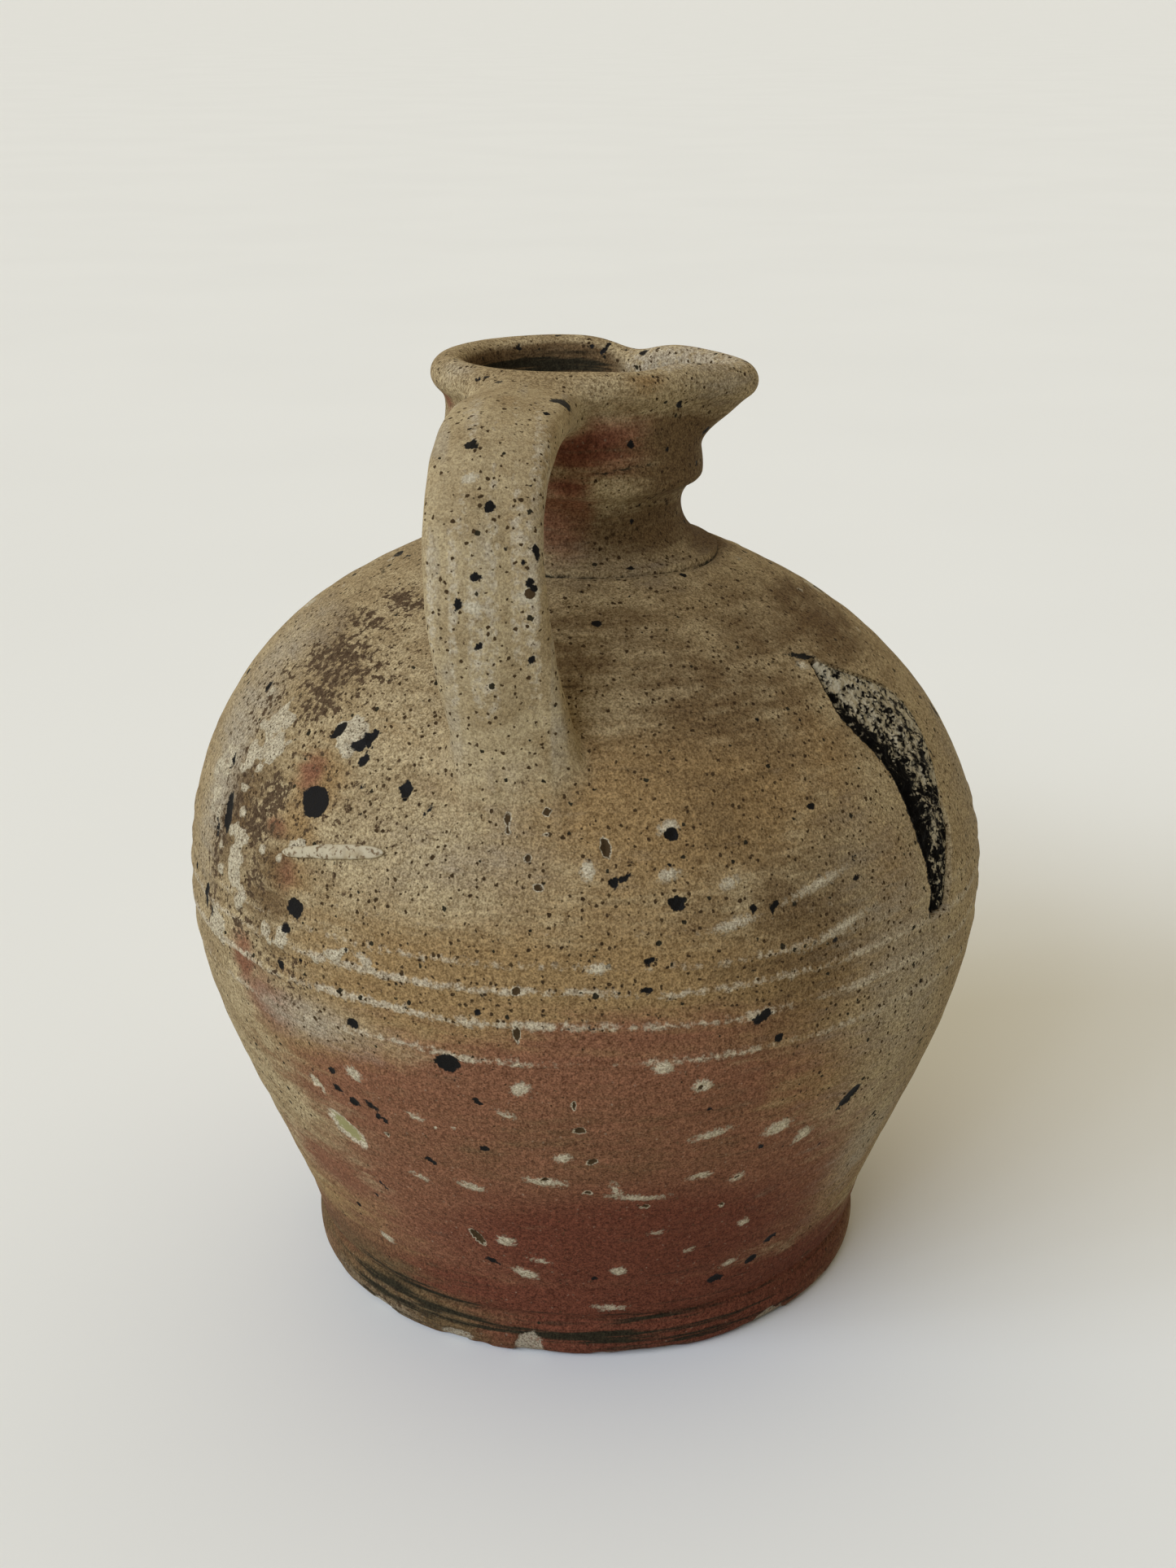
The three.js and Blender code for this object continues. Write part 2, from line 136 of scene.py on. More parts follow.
# Marks that the photograph shows: pixel x, pixel y, width, height, tilt in degrees
IRON_SPOTS = (
    (388, 985, 8, 7, 0), (419, 899, 2.6, 4.2, -35), (455, 908, 2.2, 6, -35), (443, 917, 5.6, 2.2, 10),
    (448, 935, 2, 3, -30), (499, 970, 3.2, 3.3, 0), (445, 966, 1.1, 1.2, 0), (528, 993, 0.7, 3, -25),
    (364, 1115, 4.8, 4, 0), (354, 1140, 2.4, 2.6, 0), (282, 998, 3.4, 9.5, 12), (270, 1012, 1.2, 6, 20),
    (257, 1097, 2.6, 5.6, -8), (264, 1116, 2.2, 3, -10), (425, 1168, 1.1, 1.2, 0),
    (348, 1185, 2.2, 1.7, 0), (551, 1305, 6, 4.4, 0), (562, 1324, 1.7, 1.2, 0),
    (586, 1352, 2.2, 1.3, -20), (434, 1257, 3, 2.4, 0), (406, 1316, 2.2, 1.7, 0),
    (415, 1338, 4.2, 1.5, -40), (436, 1354, 3, 2.4, -30), (458, 1360, 4, 1.4, -40),
    (469, 1375, 3, 1.7, -25), (825, 1026, 3, 3, 0), (754, 1085, 2, 2.2, 0), (765, 1080, 3.2, 1.2, 20),
    (831, 1110, 3.4, 3.4, 0), (823, 1064, 1.1, 1.1, 0), (925, 1116, 1.8, 1.8, 0),
    (951, 1110, 1.4, 1.2, 0), (947, 1119, 0.8, 1.6, 0), (798, 1181, 2.8, 1.3, 25),
    (794, 1218, 2.1, 1.5, 0), (936, 1248, 4.6, 2.2, 35), (955, 1274, 2.1, 1.8, 0),
    (588, 1243, 1.2, 1.4, 0), (727, 1262, 1.2, 1.1, 0), (697, 1263, 0.9, 0.9, 0),
    (1043, 1346, 7.4, 3.2, 45), (871, 1363, 1.5, 1.3, -30), (935, 1409, 1.4, 1, 0),
    (1007, 1405, 1.3, 0.9, 30), (530, 1425, 3.4, 1.2, -55), (596, 1409, 1.9, 1.4, 0),
    (472, 1456, 3.2, 0.9, -50), (462, 1468, 1.4, 1.2, 0), (944, 1521, 3.8, 2.4, 35),
    (922, 1546, 3.2, 2.3, 30), (878, 1570, 4.2, 2.4, 5), (730, 1570, 1.4, 1.2, 0),
    (606, 1549, 3.8, 1.4, -25), (1014, 1238, 1.2, 1, 0), (1025, 1155, 1.4, 1.1, 0),
    (926, 1193, 1.3, 1, 0), (994, 991, 2, 1.4, 0), (1051, 1078, 2.2, 1.2, 0), (1047, 1054, 1, 1, 0),
    (1130, 858, 1.5, 1.2, -40), (1145, 925, 1.2, 1.6, 0), (697, 492, 6, 3, -38), (579, 549, 2.8, 2.4, 0),
    (602, 623, 2.4, 2.4, 0), (584, 708, 2.3, 2, 0), (662, 679, 1.4, 2.6, 0), (642, 692, 1.4, 1.6, 0),
    (653, 717, 1.6, 1.6, 0), (657, 722, 2, 1.4, -35), (562, 742, 1.5, 2, 0), (587, 793, 1.5, 1.4, 0),
    (653, 812, 1.2, 1.2, 0), (655, 595, 1, 1.3, 0), (579, 528, 1.4, 0.9, 0), (775, 546, 2.3, 1.4, 5),
    (837, 497, 2.6, 1.4, -38), (820, 552, 1.4, 0.9, 25), (865, 530, 2.4, 1.3, 38), (856, 570, 1, 1, 0),
    (637, 426, 1.8, 1.6, 0), (685, 413, 1.6, 0.9, 0), (727, 426, 1.3, 1.3, 0), (744, 427, 1.2, 3, -25),
    (789, 433, 2.2, 1.3, 0), (776, 698, 1.8, 1.2, 0), (776, 640, 1, 1, 0), (588, 465, 2.6, 0.6, 15),
    (620, 473, 2, 0.6, 5), (984, 807, 6.4, 1.5, -32), (733, 767, 2.4, 1.6, 0), (330, 844, 2, 3.2, -20),
    (502, 684, 2.6, 0.9, 20), (290, 935, 1.2, 3, 0),
)
OPEN_PITS = (
    (672, 999, 2, 2, 0), (621, 1010, 1.8, 1.8, 0), (625, 1021, 1.8, 1.8, 0), (652, 1025, 1.8, 2.1, 0),
    (668, 1025, 2, 1.8, 0), (648, 1055, 1.7, 1.7, 0), (661, 1091, 2.3, 1.7, 0), (744, 1042, 2.2, 4.4, 8),
    (634, 1218, 2.2, 2, 0), (635, 1270, 1.6, 4.6, 10), (712, 1388, 2.8, 1.8, 0), (705, 1357, 1.2, 2.4, 0),
    (727, 1427, 3, 1.5, 15), (670, 1448, 1.9, 1.5, 0), (722, 1465, 2.3, 1.4, 0),
    (476, 1395, 1.7, 1.1, -30), (587, 1520, 2.4, 5.8, 32), (860, 1335, 1.6, 1.6, 0),
    (792, 1482, 2.2, 1.1, 0), (886, 1481, 1.5, 1.2, 0), (653, 730, 2.4, 2.2, 0), (536, 1385, 1.1, 0.9, 0),
    (558, 1385, 1.3, 0.8, 0), (905, 1446, 1.4, 1, 30),
)
PALE_MARKS = (
    (722, 1070, 3, 4, 0), (734, 1190, 4.6, 2.4, 10), (692, 1421, 3.6, 2.8, 0), (579, 1457, 6, 2.2, -15),
    (518, 1445, 4, 1.4, -20), (621, 1524, 4.6, 3.2, -10), (647, 1564, 5.6, 2.8, -20),
    (666, 1549, 4, 1.1, -10), (476, 1520, 4, 2.4, -25), (955, 1385, 7, 4, 15), (987, 1391, 3.6, 3, 30),
    (873, 1393, 8, 2, 12), (786, 1470, 11, 1.6, -5), (757, 1460, 1.6, 4, 20), (760, 1560, 3.2, 3, 0),
    (895, 1550, 3.4, 1.6, 20), (750, 1607, 6.4, 1.5, -5), (670, 1450, 8, 2.4, -8),
    (435, 1319, 4.4, 3.2, -30), (862, 1332, 4.2, 3.4, 0), (814, 1310, 4, 3.4, 0), (640, 1337, 4, 3.2, 30),
    (905, 1446, 3.4, 2.2, 25), (808, 1512, 2.4, 1.2, 0), (846, 1533, 2, 1, 10), (912, 1500, 2.4, 2.8, 20),
    (622, 1368, 3.6, 1.3, -20), (512, 1371, 3.2, 1.8, -20), (580, 746, 4, 2.6, -20),
    (655, 731, 4.2, 3.4, 0), (821, 1017, 4.4, 2.6, 20), (821, 1075, 4.5, 2.2, 10),
    (986, 818, 3.4, 2.2, -35), (895, 1085, 4, 2, 10), (1005, 1085, 14, 1.7, 12),
    (1030, 1140, 16, 1.7, 14), (900, 1135, 9, 2, 10), (985, 1395, 5, 2, 25), (577, 588, 3, 2.4, 20),
    (450, 1182, 5.4, 2, -28),
)
GLASS_POOLS = (
    (426, 1387, 12.5, 6.5, -42), (859, 1445, 4.4, 1.8, 3), (389, 1331, 5, 2.8, -40),
)
# Cracks from one pixel to another
CRACKS = (
    ((694, 582), (744, 582)), ((744, 582), (776, 575)), ((776, 575), (800, 571)),
    ((980, 1285), (972, 1300)), ((972, 1300), (966, 1323)), ((688, 975), (709, 994)),
    ((303, 1190), (312, 1124)), ((974, 808), (983, 819)),
)
CRACK_HALF, CRACK_DEPTH = 0.06, 0.5

# Soft washes of colour that the photograph shows: pixel x, pixel y, width, height, strength
RED_FLASHES = (
    (740, 1490, 116, 70, 1.7), (520, 1375, 80, 36, 1.1), (720, 1355, 110, 32, 1.2),
    (960, 1500, 40, 30, 0.8), (330, 1230, 24, 16, 0.9), (300, 1175, 12, 16, 0.9),
    (420, 1440, 50, 20, 0.9), (740, 546, 42, 14, 1), (694, 632, 14, 18, 1.2), (700, 600, 14, 6, 0.9),
    (545, 490, 8, 6, 0.7), (383, 950, 9, 10, 0.8), (350, 1075, 9, 9, 0.8), (340, 1015, 9, 6, 0.8),
    (700, 1622, 220, 28, 1.3), (790, 1275, 80, 14, 0.8),
)
MAROON_FLASHES = (
    (770, 1530, 90, 44, 1.3), (640, 1490, 50, 26, 0.7), (720, 1620, 200, 28, 1.5), (700, 596, 10, 4, 0.7),
    (725, 552, 30, 12, 0.8),
)
ORANGE_FLASHES = (
    (690, 1240, 130, 36, 1.3), (720, 1110, 70, 34, 0.6), (920, 1220, 100, 40, 1), (820, 990, 80, 40, 1.1),
    (390, 960, 18, 18, 0.9), (365, 1015, 18, 12, 0.9), (350, 1075, 18, 12, 0.9), (500, 1530, 90, 34, 1.3),
    (960, 1340, 80, 30, 0.9), (660, 860, 10, 26, 0.35), (795, 466, 14, 6, 0.7), (1010, 930, 24, 34, 0.7),
    (480, 900, 26, 14, 0.4), (430, 1310, 60, 30, 0.9), (1100, 1090, 20, 40, 0.8),
    (1040, 1440, 40, 40, 0.8), (470, 1230, 30, 14, 0.6),
)
# Brown washes: flashing of the flame at the foot and on the left, and painted shade on the right: the
# handle's cast shadow on the shoulder, the shaded right of the shoulder and belly, and the neck and the
# mouth's front in shade
UMBER_FLASHES_AND_PAINTED_SHADE = (
    (880, 860, 80, 50, 0.55), (1000, 760, 50, 40, 0.7), (760, 800, 50, 50, 0.5), (840, 560, 36, 26, 0.9),
    (800, 650, 44, 18, 0.9), (450, 1540, 60, 24, 0.7), (480, 1590, 70, 18, 1.1), (990, 1150, 50, 50, 0.6),
    (840, 535, 30, 12, 1.2), (940, 770, 40, 30, 0.6), (290, 990, 30, 40, 0.8), (330, 1090, 20, 40, 0.6),
    (400, 790, 40, 30, 0.4), (850, 645, 36, 26, 1), (900, 1010, 40, 40, 0.4), (700, 1410, 120, 44, 0.35),
)
# Grey-green bloom of thin ash, and painted light: at the jug's right edge, where light comes back off the
# floor and room, and on the rim beside the lip
OLIVE_TINTS_AND_PAINTED_LIGHT = (
    (1110, 1200, 50, 90, 0.6), (620, 955, 30, 10, 0.8), (460, 1590, 50, 12, 0.4),
    (560, 1060, 70, 30, 0.4), (350, 800, 40, 40, 0.6), (1062, 1400, 30, 40, 0.7), (800, 700, 60, 20, 0.3),
    (380, 1255, 50, 14, 0.7), (280, 940, 24, 60, 0.8), (300, 870, 30, 30, 0.7), (880, 455, 30, 16, 0.5),
    (560, 450, 16, 12, 0.5),
)
ASH_MOTTLES = (
    (500, 738, 22, 8, 1.2), (455, 762, 24, 8, 1), (415, 815, 30, 18, 1.2), (395, 860, 20, 14, 1.1),
    (440, 835, 30, 30, 0.6), (340, 975, 12, 12, 1.3), (315, 1010, 16, 14, 1.3), (296, 985, 14, 26, 0.9),
    (262, 1110, 8, 20, 0.9), (318, 1080, 14, 16, 0.9), (470, 1580, 40, 12, 0.7), (330, 860, 20, 30, 0.7),
    (270, 1040, 10, 40, 0.9), (400, 1000, 50, 50, 0.4), (350, 1200, 30, 20, 0.6),
    (295, 1130, 12, 14, 0.9),
)
ASH_CRUSTS = (
    (437, 900, 11, 9, 1.1), (320, 915, 18, 18, 0.7), (355, 885, 12, 16, 0.7), (288, 1046, 14, 16, 0.9),
    (300, 1094, 14, 12, 0.8), (332, 1143, 12, 8, 1), (345, 842, 12, 12, 0.6), (274, 960, 12, 20, 0.7),
    (272, 1150, 10, 20, 0.7), (365, 1215, 24, 7, 0.5), (400, 1165, 22, 7, 0.5), (470, 1178, 20, 3, 0.7),
    (330, 1048, 12, 5, 0.7), (360, 1047, 14, 5, 0.9),
)
FOOT_SOOT = (
    (740, 1636, 160, 16, 0.8), (740, 1640, 40, 8, 1), (872, 1628, 30, 6, 0.8), (520, 1590, 90, 14, 0.8),
    (450, 1565, 40, 10, 0.9), (930, 1596, 40, 3, 0.7), (660, 1612, 40, 3, 0.8), (1126, 1288, 5, 9, 1),
    (560, 1612, 60, 4, 1), (480, 1578, 40, 4, 1), (820, 1560, 60, 20, 0.3),
)

# Throwing rings: pixel y, strength
RINGS = ((1150, 0.35), (1190, 0.6), (1222, 0.9), (1262, 1.0), (1305, 0.8))
# Two pixels on the line cut round the neck's foot
NECK_CUT_PIXELS = ((700, 706), (868, 689))
# Chips in the foot: pixel x, pixel y, width, height
FOOT_CHIPS = ((650, 1644, 8, 6), (946, 1612, 12, 4), (560, 1634, 10, 2.4), (470, 1600, 8, 2.4))

# Outline of the burst scar, from its upper end down each side
SCAR_LEFT = (
    (990, 815), (1008, 843), (1030, 880), (1056, 908), (1083, 935), (1105, 974), (1122, 1020),
    (1136, 1060), (1143, 1095), (1141, 1128),
)
SCAR_RIGHT = (
    (996, 812), (1030, 826), (1066, 838), (1093, 850), (1115, 874), (1132, 906), (1143, 940), (1152, 986),
    (1163, 1010), (1165, 1047), (1164, 1090), (1157, 1128),
)
SCAR_LIP, SCAR_LIP_HEIGHT = 1.4, 0.6
SCAR_ROWS, SCAR_SMOOTHING = 160, 9
SCAR_REACH, SCAR_EDGE = 40, 0.05
SCAR_FADE, BURNT_AND_SHADED_EDGE = (-6, -1), (-0.9, 0.1)

# The slag in the scar
CLINKER_ROWS, CLINKER_COLUMNS, CLINKER_UNDERSIDE = 170, 54, 8
CLINKER_GAP, CLINKER_FLOOR, CLINKER_LEAST = 0.15, 0.05, 0.3
CLINKER_SUNK, CLINKER_BANK = 1.9, 2.2
# The sliver, from one pixel to another
SLIVER_ENDS = ((349, 1047), (474, 1048))
SLIVER_HALF, SLIVER_TALL, SLIVER_RAGGED = 1.8, 1.5, 0.42
SLIVER_BREAK, SLIVER_STEP = 0.4, 0.3
SLIVER_NOTCHES = ((0.42, 0.02), (0.68, 0.015))
SLIVER_ROWS, SLIVER_COLUMNS = 110, 28

# Washes on the far side, which the photograph doesn't show: turn in degrees, level, width, height, strength
FAR_RED = ((60, 46, 120, 56, 1.4), (140, 44, 110, 44, 1.2), (10, 40, 70, 36, 0.8), (178, 60, 50, 26, 0.7))
FAR_UMBER = ((60, 8, 200, 16, 0.9), (160, 8, 200, 16, 0.9), (30, 190, 60, 24, 0.7), (60, 140, 70, 50, 0.6))
FAR_MAROON = ((80, 30, 110, 36, 1.2), (20, 10, 120, 14, 1.0), (130, 8, 120, 14, 1.0))
FAR_ORANGE = (
    (50, 84, 160, 34, 1.1), (130, 80, 140, 34, 1.1), (160, 100, 90, 24, 0.7), (80, 150, 40, 24, 0.5),
)
FAR_OLIVE = ((0, 120, 60, 60, 0.7), (90, 150, 80, 30, 0.6), (150, 20, 70, 16, 0.7))
FAR_ASH = ((165, 140, 26, 26, 0.8), (175, 112, 20, 16, 0.8), (140, 125, 18, 12, 0.6), (60, 160, 18, 12, 0.5))
FAR_CRUST = ((172, 125, 22, 20, 0.8), (155, 105, 16, 14, 0.7), (178, 90, 16, 16, 0.6))
FAR_SOOT = ((40, 6, 60, 6, 0.8), (110, 5, 50, 5, 0.8), (170, 5, 40, 5, 0.7))
FAR_TURNS = (-8, 188)
# Marks strewn over the far side: seed, count, smallest and largest width
FAR_MARKS = {"iron": (1, 120, 1, 5), "pit": (2, 60, 1, 3), "pale": (3, 120, 1.5, 8), "glass": (4, 4, 2, 6)}

# Relief of the clay as layers of noise: how far it stands out, and the size of its lumps
SKIN_LUMPS = ((0.55, 34), (0.22, 11), (0.09, 3.5))
RING_WOBBLE = ((0.9, 22), (0.35, 6))
SLIP_PATCHES = ((0.4, 17), (0.3, 5))
FOOT_RAGS = ((1, 9), (0.6, 3))
CRUST_SCRAPS = ((0.5, 6), (0.4, 2.4))
STRAP_LUMPS = ((0.35, 14), (0.1, 4))
SLAG_LUMPS = ((0.55, 2.2), (0.45, 1))

# What the making left: the fingers' spiral, rings, the groove, cuts round the neck's foot, and breaks
FINGER_WIDTH, FINGER_HEIGHT, SPIRAL_RISE = 4.2, 0.16, 6
FADE_OVER_FOOT, FADE_UNDER_NECK = 8, 12
RING_WIDTH, SLIP_WIDTH, GROOVE_WIDTH = 1.0, 1.3, 0.9
NECK_CUT_DEPTH, NECK_CUT_WIDTH, NECK_CUT_HALF = 0.9, 0.6, 0.08
NECK_RIDGE, NECK_RIDGE_START, NECK_RIDGE_END = 0.5, (-0.4, 0.6), (1.5, 5)
FINE_CUT_DEPTH, FINE_CUT_WIDTH, FINE_CUT_RISE = 0.3, 0.5, 2.4
CRUST_HEIGHT, CHIP_DEPTH, CHIP_FADE = 0.5, 0.5, (0.8, 2.2)
MOUTH_SMOOTHNESS = 0.4

# How far round a mark its field reaches, and how closely a point has to face its way
MARK_MARGIN, MARK_FACING = 3, 0.3
# How far each kind of mark stands out or lies in, between two depths inside its outline
MARK_RELIEF = {
    "iron": (-0.3, -0.2, 0.5), "pit": (-0.9, -0.1, 0.7), "pale": (0.2, -0.4, 0.4), "glass": (-0.4, -0.2, 0.6),
}

Profile = namedtuple("Profile", "along radius height out_radius out_height seams")
Skin = namedtuple("Skin", "profile points normals fields")
Mark = namedtuple("Mark", "place out wide high tilt")
Clay = namedtuple("Clay", "tree colours place fields noises lines shares")


def linear(code):
    """Linear colour of an sRGB hex code."""
    shares = [int(code[i:i + 2], 16) / 255 for i in (1, 3, 5)]
    return tuple(s / 12.92 if s <= 0.04045 else ((s + 0.055) / 1.055) ** 2.4 for s in shares)


def span(name):
    """Lowest and highest corner of a solid of the frame, in millimetres."""
    low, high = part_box(name)
    return np.array(low) / MM, np.array(high) / MM


# Sizes that the user may change

def length(label, text, millimetres):
    """A length whose default is given in millimetres."""
    return FloatProperty(
        name=label, description=text, default=float(millimetres * MM), min=0, precision=4, unit="LENGTH"
    )


def colour(label, text, code):
    """A colour whose default is given as an sRGB hex code."""
    return FloatVectorProperty(
        name=label, description=text, default=linear(code), size=3, min=0, max=1, subtype="COLOR"
    )


NECK_LOW, NECK_HIGH = span("neck_collar")
MOUTH_LOW, MOUTH_HIGH = span("pouring_mouth")
NECK_LEAN = -(NECK_LOW[0] + NECK_HIGH[0]) / 2


class JugSizes(bpy.types.PropertyGroup):
    """Sizes of the jug's clay. Those of the solids come from the frame."""

    foot_radius: length("Foot radius", "Outside of the foot", span("base_slab")[1][0])
    base_height: length("Base height", "Top of the base slab", span("base_slab")[1][2])
    belly_radius: length("Belly radius", "Outside of the widest turn", span("lower_wall")[1][0])
    belly_height: length("Belly height", "Height of the widest turn", span("shoulder_wall")[0][2] - SLIP_GAP)
    neck_radius: length("Neck radius", "Foot of the neck", (NECK_HIGH[0] - NECK_LOW[0]) / 2)
    neck_height: length("Neck height", "Height of the neck's foot", span("shoulder_wall")[1][2])
    ledge_height: length("Ledge height", "Top of the ledge under the mouth", MOUTH_LOW[2] - SLIP_GAP)
    rim_radius: length("Rim radius", "Outside of the rim", -MOUTH_LOW[0] - NECK_LEAN)
    rim_height: length("Rim height", "Top of the rim", MOUTH_HIGH[2])
    rim_width: length("Rim width", "Width of the rounded rim", 8.8)
    rim_depth: length("Rim depth", "Depth of the rounded rim", 8.6)
    wall: length("Wall", "Thickness of the body's wall", 7)
    lip_reach: length("Lip reach", "How far the lip is pulled out", 11)
    strap_width: length("Strap width", "Width of the handle", 25)
    strap_thickness: length("Strap thickness", "Thickness of the handle", 11)
    ring_height: length("Ring height", "How far the throwing rings stand out", 0.35)
    groove_depth: length("Groove depth", "Depth of the groove over the foot", 0.9)
    scar_depth: length("Scar depth", "Depth of the burst scar", 4)
    grain_size: length("Grain size", "Spacing of the dark iron specks", 1.35)


class JugColours(bpy.types.PropertyGroup):
    """Colours of the fired clay, the slag and the stage."""

    buff: colour("Buff", "Bare clay where the flame was cool", "#ad9d78")
    buff_shade: colour("Buff shade", "Darker drifts in the bare clay", "#998763")
    # Olive also stands in for painted light at the jug's right edge and on the rim beside the lip
    olive: colour("Olive", "Grey-green bloom of thin ash", "#a79e87")
    # Umber is also the colour of painted shade on the right of the shoulder, on the neck and the mouth's
    # front, and down inside the mouth
    umber: colour("Umber", "Clay browned by the flame", "#6b573a")
    tan: colour("Tan orange", "Clay flashed by the flame", "#967d54")
    red: colour("Red brown", "Clay flashed red by the flame", "#845c43")
    maroon: colour("Maroon", "Deepest flashing near the foot", "#6d3f2d")
    speck: colour("Speck", "Iron specks in the clay", "#43341f")
    iron: colour("Iron", "Melted iron spots", "#0f0d0a")
    ash: colour("Ash brown", "Dull brown ash mottling", "#574733")
    crust: colour("Crust", "Grey-white crust of ash", "#b6ad92")
    # On the lip's top and inside, the pale slip is partly painted light
    slip: colour("Slip", "Pale slip on the throwing rings, the strap and the lip", "#b8ad92")
    pale: colour("Pale grit", "Pale grit and burst flecks", "#bdb499")
    # Down inside the mouth, soot is partly painted shade that deepens downwards
    soot: colour("Soot", "Green-black deposit at the foot and in the mouth", "#2e2a1c")
    glass: colour("Green glass", "Pools of melted ash", "#8f8a5c")
    # The slag's dark and pale are laid across it as painted shade on the left and painted light on the right,
    # over its own grains
    slag_dark: colour("Slag dark", "Dark grains of the slag", "#070503")
    slag_pale: colour("Slag pale", "Pale grains of the slag", "#aea488")
    sliver: colour("Sliver", "Sliver of pale clay", "#b3a88a")
    floor: colour("Floor", "Plain pale floor", "#edf0eb")
    window: colour("Window", "Light from the window", "#dfe9ff")
    room_bright: colour("Room bright", "Light from the bright side of the room", "#e8dcc4")
    room_dim: colour("Room dim", "Light from the dim side of the room", "#4c381e")


def read_sizes():
    """The sizes as a named tuple in millimetres."""
    group = bpy.context.scene.jug_sizes
    names = tuple(JugSizes.__annotations__)
    return namedtuple("Sizes", names)(*(getattr(group, name) / MM for name in names))


# Small tools for shapes

def smoothstep(value, low, high):
    """Rises smoothly from 0 to 1 between two levels."""
    share = np.clip((value - low) / (high - low), 0, 1)
    return share * share * (3 - 2 * share)


def heading(turn, rise):
    """Direction at a turn from +X and a rise from the floor."""
    return Vector((math.cos(turn) * math.cos(rise), math.sin(turn) * math.cos(rise), math.sin(rise)))


def bell(value, width):
    """Falls smoothly from 1 at zero towards 0 past a width."""
    return np.exp(-((value / width) ** 2))


def unit(vectors):
    return vectors / np.maximum(np.linalg.norm(vectors, axis=-1, keepdims=True), 1e-9)


def bezier(start, first, second, end, count=80):
    """Points of a curve between two ends, drawn by two handles."""
    share = np.linspace(0, 1, count)[:, None]
    rest = 1 - share
    corners = [np.array(corner, float) for corner in (start, first, second, end)]
    weights = (rest ** 3, 3 * share * rest ** 2, 3 * share ** 2 * rest, share ** 3)
    return sum(weight * corner for weight, corner in zip(weights, corners))


def distances(line):
    """How far along a line each of its points lies."""
    steps = np.linalg.norm(np.diff(line, axis=0), axis=1)
    return np.concatenate([[0], np.cumsum(steps)])


def resample(line, step):
    """The same line with its points an even step apart."""
    along = distances(line)
    wanted = np.linspace(0, along[-1], max(2, round(along[-1] / step) + 1))
    return np.stack([np.interp(wanted, along, column) for column in line.T], axis=1)


LATTICE = np.random.default_rng(SEED).uniform(-1, 1, (64, 64, 64))


def clay_noise(points, size):
    """Smooth noise from -1 to 1 with lumps of a size in millimetres."""
    place = np.asarray(points) / size
    cell = np.floor(place).astype(int)
    share = smoothstep(place - cell, 0, 1)
    total = 0
    for corner in itertools.product((0, 1), repeat=3):
        weight = np.prod(np.where(corner, share, 1 - share), axis=-1)
        x, y, z = np.moveaxis((cell + corner) % len(LATTICE), -1, 0)
        total = total + weight * LATTICE[x, y, z]
    return total


def lumps(points, layers):
    """Noise in layers, each with an amount and a size in millimetres."""
    return sum(amount * clay_noise(points, size) for amount, size in layers)


# Where a pixel of the photograph falls on the jug

@functools.lru_cache(maxsize=1)
def frame_tree():
    """All solids of the frame as one tree that a ray can be cast on, in millimetres."""
    corners, faces = [], []
    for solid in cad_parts.values():
        start = len(corners)
        corners.extend(corner.co / MM for corner in solid.data.vertices)
        faces.extend([start + i for i in face.vertices] for face in solid.data.polygons)
    return BVHTree.FromPolygons(corners, faces)


def lean_at(height, sizes):
    """How far the neck leans away from the lip at a height."""
    return NECK_LEAN * smoothstep(height, sizes.belly_height, sizes.neck_height)


def seen_at(pixel_x, pixel_y, sizes):
    """Point and outward direction on the jug at a pixel, with the neck's lean taken out."""
    forward = np.array([0, math.cos(CAMERA_PITCH), -math.sin(CAMERA_PITCH)])
    upward = np.array([0, math.sin(CAMERA_PITCH), math.cos(CAMERA_PITCH)])
    across = pixel_x - PHOTO_WIDTH / 2
    down = pixel_y - PHOTO_HEIGHT / 2
    way = FOCAL_PIXELS * forward + np.array([across, 0, 0]) - down * upward
    place, out, _, _ = frame_tree().ray_cast(Vector(CAMERA_PLACE), Vector(way).normalized())
    if place is None:
        raise RuntimeError(f"pixel {pixel_x}, {pixel_y} misses the jug")
    point = np.array(place)
    point[0] += lean_at(point[2], sizes)
    return point, np.array(out)


# Profile of the jug's outside, from under the foot to the inside of the mouth

def foot_line(sizes):
    edge = sizes.foot_radius
    worn = bezier((edge - FOOT_INSET, 0), (edge - EDGE_WEAR, 0), (edge, 0), (edge, EDGE_WEAR))
    return np.concatenate([worn, [(edge + 0.5, sizes.base_height / 2), (edge, sizes.base_height)]])


def lower_line(sizes):
    flare_out, flare_up = FOOT_FLARE
    return bezier(
        (sizes.foot_radius, sizes.base_height),
        (sizes.foot_radius + flare_out, sizes.base_height + flare_up),
        (sizes.belly_radius, sizes.belly_height - BELLY_SWELL[0]),
        (sizes.belly_radius, sizes.belly_height),
    )


def shoulder_line(sizes):
    swell_out, swell_down = SHOULDER_SWELL
    return bezier(
        (sizes.belly_radius, sizes.belly_height),
        (sizes.belly_radius, sizes.belly_height + BELLY_SWELL[1]),
        (sizes.neck_radius + swell_out, sizes.neck_height - swell_down),
        (sizes.neck_radius, sizes.neck_height),
    )


def neck_line(sizes):
    band_foot = sizes.ledge_height - LEDGE_BAND
    sweep_in, sweep_up = NECK_SWEEP
    sweep = bezier(
        (sizes.neck_radius, sizes.neck_height),
        (sizes.neck_radius - sweep_in, sizes.neck_height + sweep_up),
        (WAIST_RADIUS, WAIST_HEIGHT - WAIST_BEND),
        (WAIST_RADIUS, WAIST_HEIGHT),
    )
    under_ledge = bezier(
        (WAIST_RADIUS, WAIST_HEIGHT),
        (WAIST_RADIUS, (WAIST_HEIGHT + band_foot) / 2),
        ((WAIST_RADIUS + LEDGE_RADIUS) / 2, band_foot),
        (LEDGE_RADIUS, band_foot),
    )
    return np.concatenate([sweep, under_ledge[1:], [(LEDGE_RADIUS, sizes.ledge_height)]])


